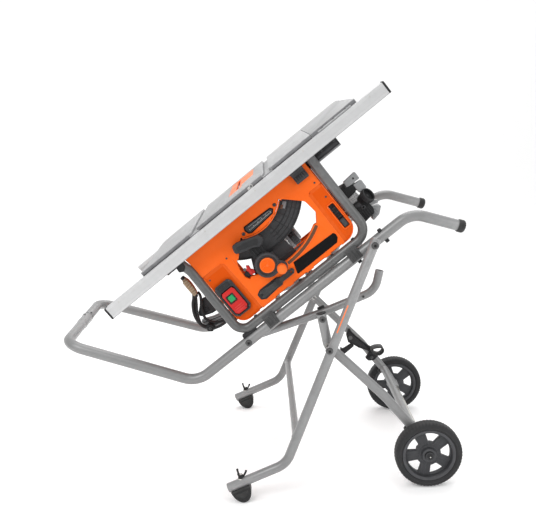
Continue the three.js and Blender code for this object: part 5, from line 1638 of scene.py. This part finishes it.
# ribbed black socket
part.add("black", slab(soft([(468, 176), (483, 177.6), (500, 175), (512, 168), (525, 158),
                             (526, 147), (516, 140), (488, 137), (468, 137)],
                            [2, 3, 3, 4, 4, 3, 4, 3, 2]), -219.0, -160.6, bev=2.4, seg=4))
for k in range(12):
    x = 483 + k * 3.4
    part.add("black", slab(rect(x, x + 1.6, 141, 171 - k * 1.25, 0.6, 2), -220.8, -218.0,
                           bev=0.5))
part.add("black", block(497, 505, -222.5, -205, 166, 181, 2.0, 3),
         block(499, 503, -223.6, -221, 170, 176, 1.0))
# pale upper and lower jaws with a slit between them
part.add("plate",
         slab(soft([(503.5, 167), (510, 166), (516, 165), (549, 164.6), (549.6, 186),
                    (546, 187.8), (505, 184.6)], [2, 2, 2, 3, 4, 3, 3]),
              -223.8, -205.2, bev=1.6, seg=3),
         slab(soft([(522.4, 131.4), (549.4, 131.4), (549.8, 157), (546, 158.8), (530, 160.4),
                    (522.4, 160.6)], [3, 3, 3, 2, 2, 2]), -223.8, -205.2, bev=1.6, seg=3),
         block(516, 530, -214, -205.4, 158, 167, 1.4),
         block(541, 549, -224.4, -222, 168, 184, 0.8),
         block(541, 549, -224.4, -222, 135, 155, 0.8))
# studded grey web below the socket
part.add("cast", slab(soft([(470, 146), (489, 146), (516, 140), (519, 120), (514, 113),
                            (488, 110.5), (470, 110.5)], [1, 2, 4, 4, 3, 2, 1], 3),
                      -216.0, -205.4, bev=1.2))
part.add("dark_cast_and_shade", *[
    solid([(1.7, 0), (1.3, 1.1), (0.01, 1.2)],
          (492 + i * 6.2 + (j % 2) * 2, -215.8, 117 + j * 6.4), TO_FRONT, 10)
    for i in range(4) for j in range(4)])
part.add("bolt", *screws([(464, -224.2, 178), (464, -224.2, 100)], TO_FRONT, 3.6, 2.2),
         screw((534, -223.4, 176), TO_FRONT, 3.4, 1.8))
part.done()

# ------------------------------------------------------------------ right side: dust outlet
part = Piece("dust_outlet", "dust_port", "black_plastic")
part.add("black", slab(soft([(471, 60), (478, 51), (521, 57), (527, 68), (527, 103),
                             (514, 115.5), (486, 115.5), (471, 110)], [4, 5, 5, 4, 6, 5, 5, 4]),
                       -221.6, -160.4, holes=[circle((506, 91), 3.0, 20)], bev=3, seg=4),
         *[slab([(x, 56), (x + 2.4, 56.4), (x + 2.4, 84), (x, 84)], -223.8, -221.0)
           for x in range(481, 517, 7)])
part.add("dark",
         slab(soft([(488, 112), (520, 108), (524, 98), (498, 98), (488, 104)], 3, 3),
              -225.4, -220.6, bev=1.4),
         hollow([(3.2, 0), (7.0, 0), (6.4, 2.6), (5.6, 3.2), (3.2, 3.2)], (506, -221.0, 91),
                TO_FRONT, 28))
# outlet mouth turned towards the front, with grip ribs round it
mouth_at = Vector((532, -222, 110))
mouth_dir = (0.80, -0.56, 0.18)
part.add("black", solid([(17.6, -22), (18.4, -20), (18.6, -4), (21.6, -3), (22, -2), (22, 10.5),
                         (21.2, 12.2), (18.6, 12.4), (18.0, 11.2), (17.4, 4.2), (6, 3.4),
                         (5.2, 5.0), (0.01, 5.4)], mouth_at, mouth_dir, 56))
mouth_frame = Matrix.Translation(mouth_at) @ upright(mouth_dir).to_matrix().to_4x4()
part.add("black", *spun((20.8, 22.9, -1.1, 1.1, -1.4, 9.6, 0.5, 1), range(0, 360, 20),
                        mouth_frame, "Z"))
part.add("plate",
         slab(soft([(522, 98), (532, 92), (548, 84), (552, 78), (546, 73.5), (524, 82)],
                   [3, 3, 4, 3, 3, 3]), -220.0, -196.0, bev=1.8, seg=3),
         slab(soft([(520, 78), (531, 71.5), (546, 64.6), (549, 60), (530, 43.6), (507, 39.2),
                    (505, 43), (514, 56)], [2, 2, 3, 3, 5, 4, 2, 3]),
              -214.6, -175.4, bev=1.6, seg=3))
part.add("dark_cast_and_shade", *[slab([(x, z - 7), (x + 1.8, z - 6.4), (x + 1.8, z + 8), (x, z + 7)],
                         -216.2, -214.0, bev=0.6) for x, z in ((515, 50), (522, 54), (529, 58))])
part.add("black", block(514, 534, -214.6, -170.4, 78, 111, 4, 4))
part.done()

# ------------------------------------------------------------------ left side: coiled cord
STRANDS = (
    [(-52, -188, 202), (-58, -187, 194), (-75, -185, 178), (-90, -183, 156), (-98, -181, 134),
     (-99, -179, 112), (-92, -178, 94), (-78, -178, 84)],
    [(-46, -182, 200), (-53, -181, 190), (-66, -180, 172), (-81, -179, 152), (-92, -178, 130),
     (-97, -177, 112), (-90, -175, 96), (-76, -172, 86)],
    [(-50, -176, 201), (-60, -176, 188), (-80, -174, 168), (-94, -172, 146), (-101, -171, 122),
     (-99, -170, 104), (-88, -170, 90), (-74, -170, 82)],
    [(-82, -180, 86), (-70, -184, 78), (-56, -186, 74), (-40, -186, 72), (-24, -184, 72),
     (-8, -184, 70), (10, -184, 74)],
    [(-40, -174, 196), (-44, -172, 180), (-58, -170, 160), (-70, -168, 140), (-78, -166, 118),
     (-72, -166, 98), (-58, -168, 84), (-36, -172, 76), (-16, -176, 70)],
)
# plug stations: fraction of the length, half width, half depth, shift to the right
PLUG = ((0.0, 6.5, 5.5, 0), (0.05, 8.2, 7.0, 0), (0.2, 10.6, 8.8, 0.6), (0.45, 11.2, 9.4, 1.0),
        (0.7, 10.4, 9.0, 0.6), (0.9, 9.2, 8.0, 0), (1.0, 7.4, 6.4, 0))


def squared(value):
    """Pushes a circle coordinate towards a rounded square."""
    return copysign(abs(value) ** 0.6, value)


part = Piece("coiled_cord", "power_cord", "rubber_black")
part.add("cord", *[tube(catmull(strand, 7), 4.3, 16, ends=CLOSED) for strand in STRANDS])
# clip that gathers the strands, block at the lower right end
part.add("black", slab(soft([(-95, 84), (-89, 99), (-78, 100), (-69, 90), (-70, 80), (-82, 74)],
                            5), -190.0, -164.0, bev=3, seg=4))
part.add("bolt", screw((-82, -189.6, 87), TO_FRONT, 4.4, 2.6))
part.add("black", block(-17.6, 15.4, -195.6, -166.4, 56.4, 75.6, 3.0, 3))
part.add("bolt", screw((0, -195.2, 66), TO_FRONT, 4.6, 2.4))
# pale moulded body behind the strands
part.add("plate", slab(soft([(-98, 120), (-60, 104), (-18, 92), (-14, 66), (-54, 62), (-83, 69),
                             (-98, 92)], [6, 8, 6, 6, 8, 6, 6]), -158.0, -134.0, bev=5, seg=5))
part.add("dark", *[slab(soft([(-94, 110 - k * 11), (-20, 86 - k * 8), (-20, 83.6 - k * 8),
                              (-94, 107.2 - k * 11)], 0.6, 2), -159.4, -156.0, bev=0.5)
                   for k in range(3)])
# ribbed dark guard behind the strands
part.add("dark", slab(soft([(-57, 170), (-38, 166), (-20, 150), (-14, 128), (-26, 112),
                            (-52, 114), (-84, 126), (-90, 133), (-84, 144), (-70, 156)],
                           [4, 6, 8, 8, 6, 5, 5, 4, 5, 5]), -160.0, -138.0, bev=3.5, seg=4))
for k in range(4):
    rise = k * 6.5
    rib = [(-84 + k * 6, -160.6, 133 + rise), (-72 + k * 5, -161.2, 130 + rise),
           (-58 + k * 1.5, -161, 128 + rise), (-50, -160.4, 130 + rise)]
    part.add("black", tube(catmull(rib, 5), 1.5, 10, ends=CLOSED))
part.add("dark", slab(soft([(-60, 130), (14, 108), (14, 122), (-56, 144)], 3, 3),
                      -156.0, -146.0, bev=2))
# mottled plug held in the coil, with grip ribs and end collars
sections = []
for along, width, depth, shift in PLUG:
    centre = Vector((-44.5 - 1.5 * along + shift, -188, 256 - 60 * along))
    sections.append([centre + Vector((width * squared(cos(t)), depth * squared(sin(t)),
                                      2.5 * cos(t)))
                     for t in [2 * pi * i / 32 for i in range(32)]])
part.add("brown", loft(sections))
for k in range(6):
    z = 246 - k * 8
    part.add("brown", block(-54.6 + 0.3 * k, -35.0 - 0.3 * k, -198.0, -196.0, z - 1.4, z + 1.4,
                            0.6))
part.add("black", solid([(6.4, 0), (7.4, 2), (7.0, 8), (5.0, 10), (0.01, 10.2)],
                        (-44.2, -188, 254.5), (-0.1, 0, 1), 28),
         solid([(6.6, 0), (6.0, 6), (4.8, 12), (0.01, 12.4)], (-46.5, -188, 200),
               (-0.3, 0, -1), 28))
part.done()

# ------------------------------------------------------------------ CAD parts
# finish by the start of the node name; the housing shell takes the darker orange of painted shade
CARRIED = {
    "housing_shell": "orange_shaded", "rail_carrier": "cast", "trunnion": "cast",
    "bevel_carriage": "cast", "arbor_case": "cast", "motor": "dark", "blade": "steel",
    "arbor_shaft": "zinc", "main_table": "table", "extension_table": "table",
    "front_rail": "rail", "rear_rail": "rail", "slide_channel": "black", "handwheel": "dark",
    "crank_knob": "orange", "lift_screw": "zinc",
}
for name, shape in frame["nodes"].items():
    finish = next((v for start, v in CARRIED.items() if name.startswith(start)), "dark")
    shape.data.materials.clear()
    shape.data.materials.append(MATERIALS[finish])


# ------------------------------------------------------------------ floor (metres from here on)
def paper():
    """Near-white matt floor that glows a little."""
    color = (0.95, 0.95, 0.95)
    shader = Shader("paper")
    cloud = shader.noise(shader.coords(), scale=1.2, detail=3, rough=0.5)
    shader.feed(shader.surface, {
        "Base Color": shader.ramp(cloud, [(0.2, tuple(c * 0.985 for c in color)),
                                          (0.8, color)]),
        "Roughness": 0.9, "Specular IOR Level": 0.1,
        "Emission Color": (1, 1, 1, 1), "Emission Strength": 0.16})
    return shader.material


# (y, z) section: flat floor, quarter round of radius 2, back wall
sweep = [(-12, 0.0), (3.0, 0.0)]
sweep += [(3.0 + 2.0 * sin(radians(a)), 2.0 - 2.0 * cos(radians(a))) for a in range(6, 91, 6)]
sweep += [(5.0, 12.0)]
bm = bmesh.new()
rows = [[bm.verts.new((x, y, z - 0.0006)) for y, z in sweep] for x in (-14, 14)]
for k in range(len(sweep) - 1):
    bm.faces.new((rows[0][k], rows[1][k], rows[1][k + 1], rows[0][k + 1]))
mesh = bpy.data.meshes.new("floor")
bm.to_mesh(mesh)
bm.free()
mesh.polygons.foreach_set("use_smooth", [True] * len(mesh.polygons))
mesh.materials.append(paper())
place("floor", mesh)

# ------------------------------------------------------------------ world and lights
CAMERA_GLOW, LIGHT_GLOW = 0.34, 0.66  # added for camera rays, seen by all rays
world = bpy.data.worlds.new("studio")
bpy.context.scene.world = world
world.use_nodes = True
background = world.node_tree.nodes["Background"]
background.inputs["Color"].default_value = (1.0, 1.0, 1.0, 1)
ray = world.node_tree.nodes.new("ShaderNodeLightPath")
strength = world.node_tree.nodes.new("ShaderNodeMath")
strength.operation = "MULTIPLY_ADD"
strength.inputs[1].default_value = CAMERA_GLOW
strength.inputs[2].default_value = LIGHT_GLOW
world.node_tree.links.new(ray.outputs["Is Camera Ray"], strength.inputs[0])
world.node_tree.links.new(strength.outputs["Value"], background.inputs["Strength"])
bpy.context.scene.view_settings.view_transform = "Standard"


def area(name, location, target, size, power):
    light = bpy.data.lights.new(name, "AREA")
    light.shape = "RECTANGLE"
    light.size, light.size_y = size
    light.energy = power
    light.color = (1, 1, 1)
    lamp = place(name, light)
    lamp.location = location
    aim = Vector(target) - Vector(location)
    lamp.rotation_euler = aim.to_track_quat("-Z", "Y").to_euler()


area("key", location=(-1.7, -2.6, 3.0), target=(0, 0, 0.6), size=(2.2, 1.6), power=62)
area("fill", location=(2.8, -2.2, 1.6), target=(0, 0, 0.6), size=(1.8, 2.2), power=24)
area("top", location=(0.2, 0.4, 3.4), target=(0, 0, 0.7), size=(2.6, 2.0), power=40)
area("rim", location=(0.8, 2.4, 2.8), target=(0, 0, 0.7), size=(2.0, 1.2), power=20)

# ------------------------------------------------------------------ camera
# radians: downward pitch, yaw about z, roll about the view axis
PITCH, YAW, ROLL = 0.19496903, -0.00486268, -0.03085646
level_right = Vector((cos(YAW), sin(YAW), 0))
level_ahead = Vector((-sin(YAW), cos(YAW), 0))
ahead = level_ahead * cos(PITCH) - Vector(UP) * sin(PITCH)
above = level_ahead * sin(PITCH) + Vector(UP) * cos(PITCH)
cam_x = level_right * cos(ROLL) + above * sin(ROLL)
cam_y = above * cos(ROLL) - level_right * sin(ROLL)
lens = bpy.data.cameras.new("camera")
lens.lens = 50.05
lens.sensor_width = 36
lens.sensor_fit = "HORIZONTAL"
lens.shift_x, lens.shift_y = -0.0006, 0.0009
lens.clip_start, lens.clip_end = 0.05, 40
camera = place("camera", lens)
camera.matrix_world = Matrix((
    (cam_x.x, cam_y.x, -ahead.x, STAND_X - 0.19062236),
    (cam_x.y, cam_y.y, -ahead.y, -2.37431524),
    (cam_x.z, cam_y.z, -ahead.z, 1.12623514),
    (0, 0, 0, 1),
))
bpy.context.scene.camera = camera
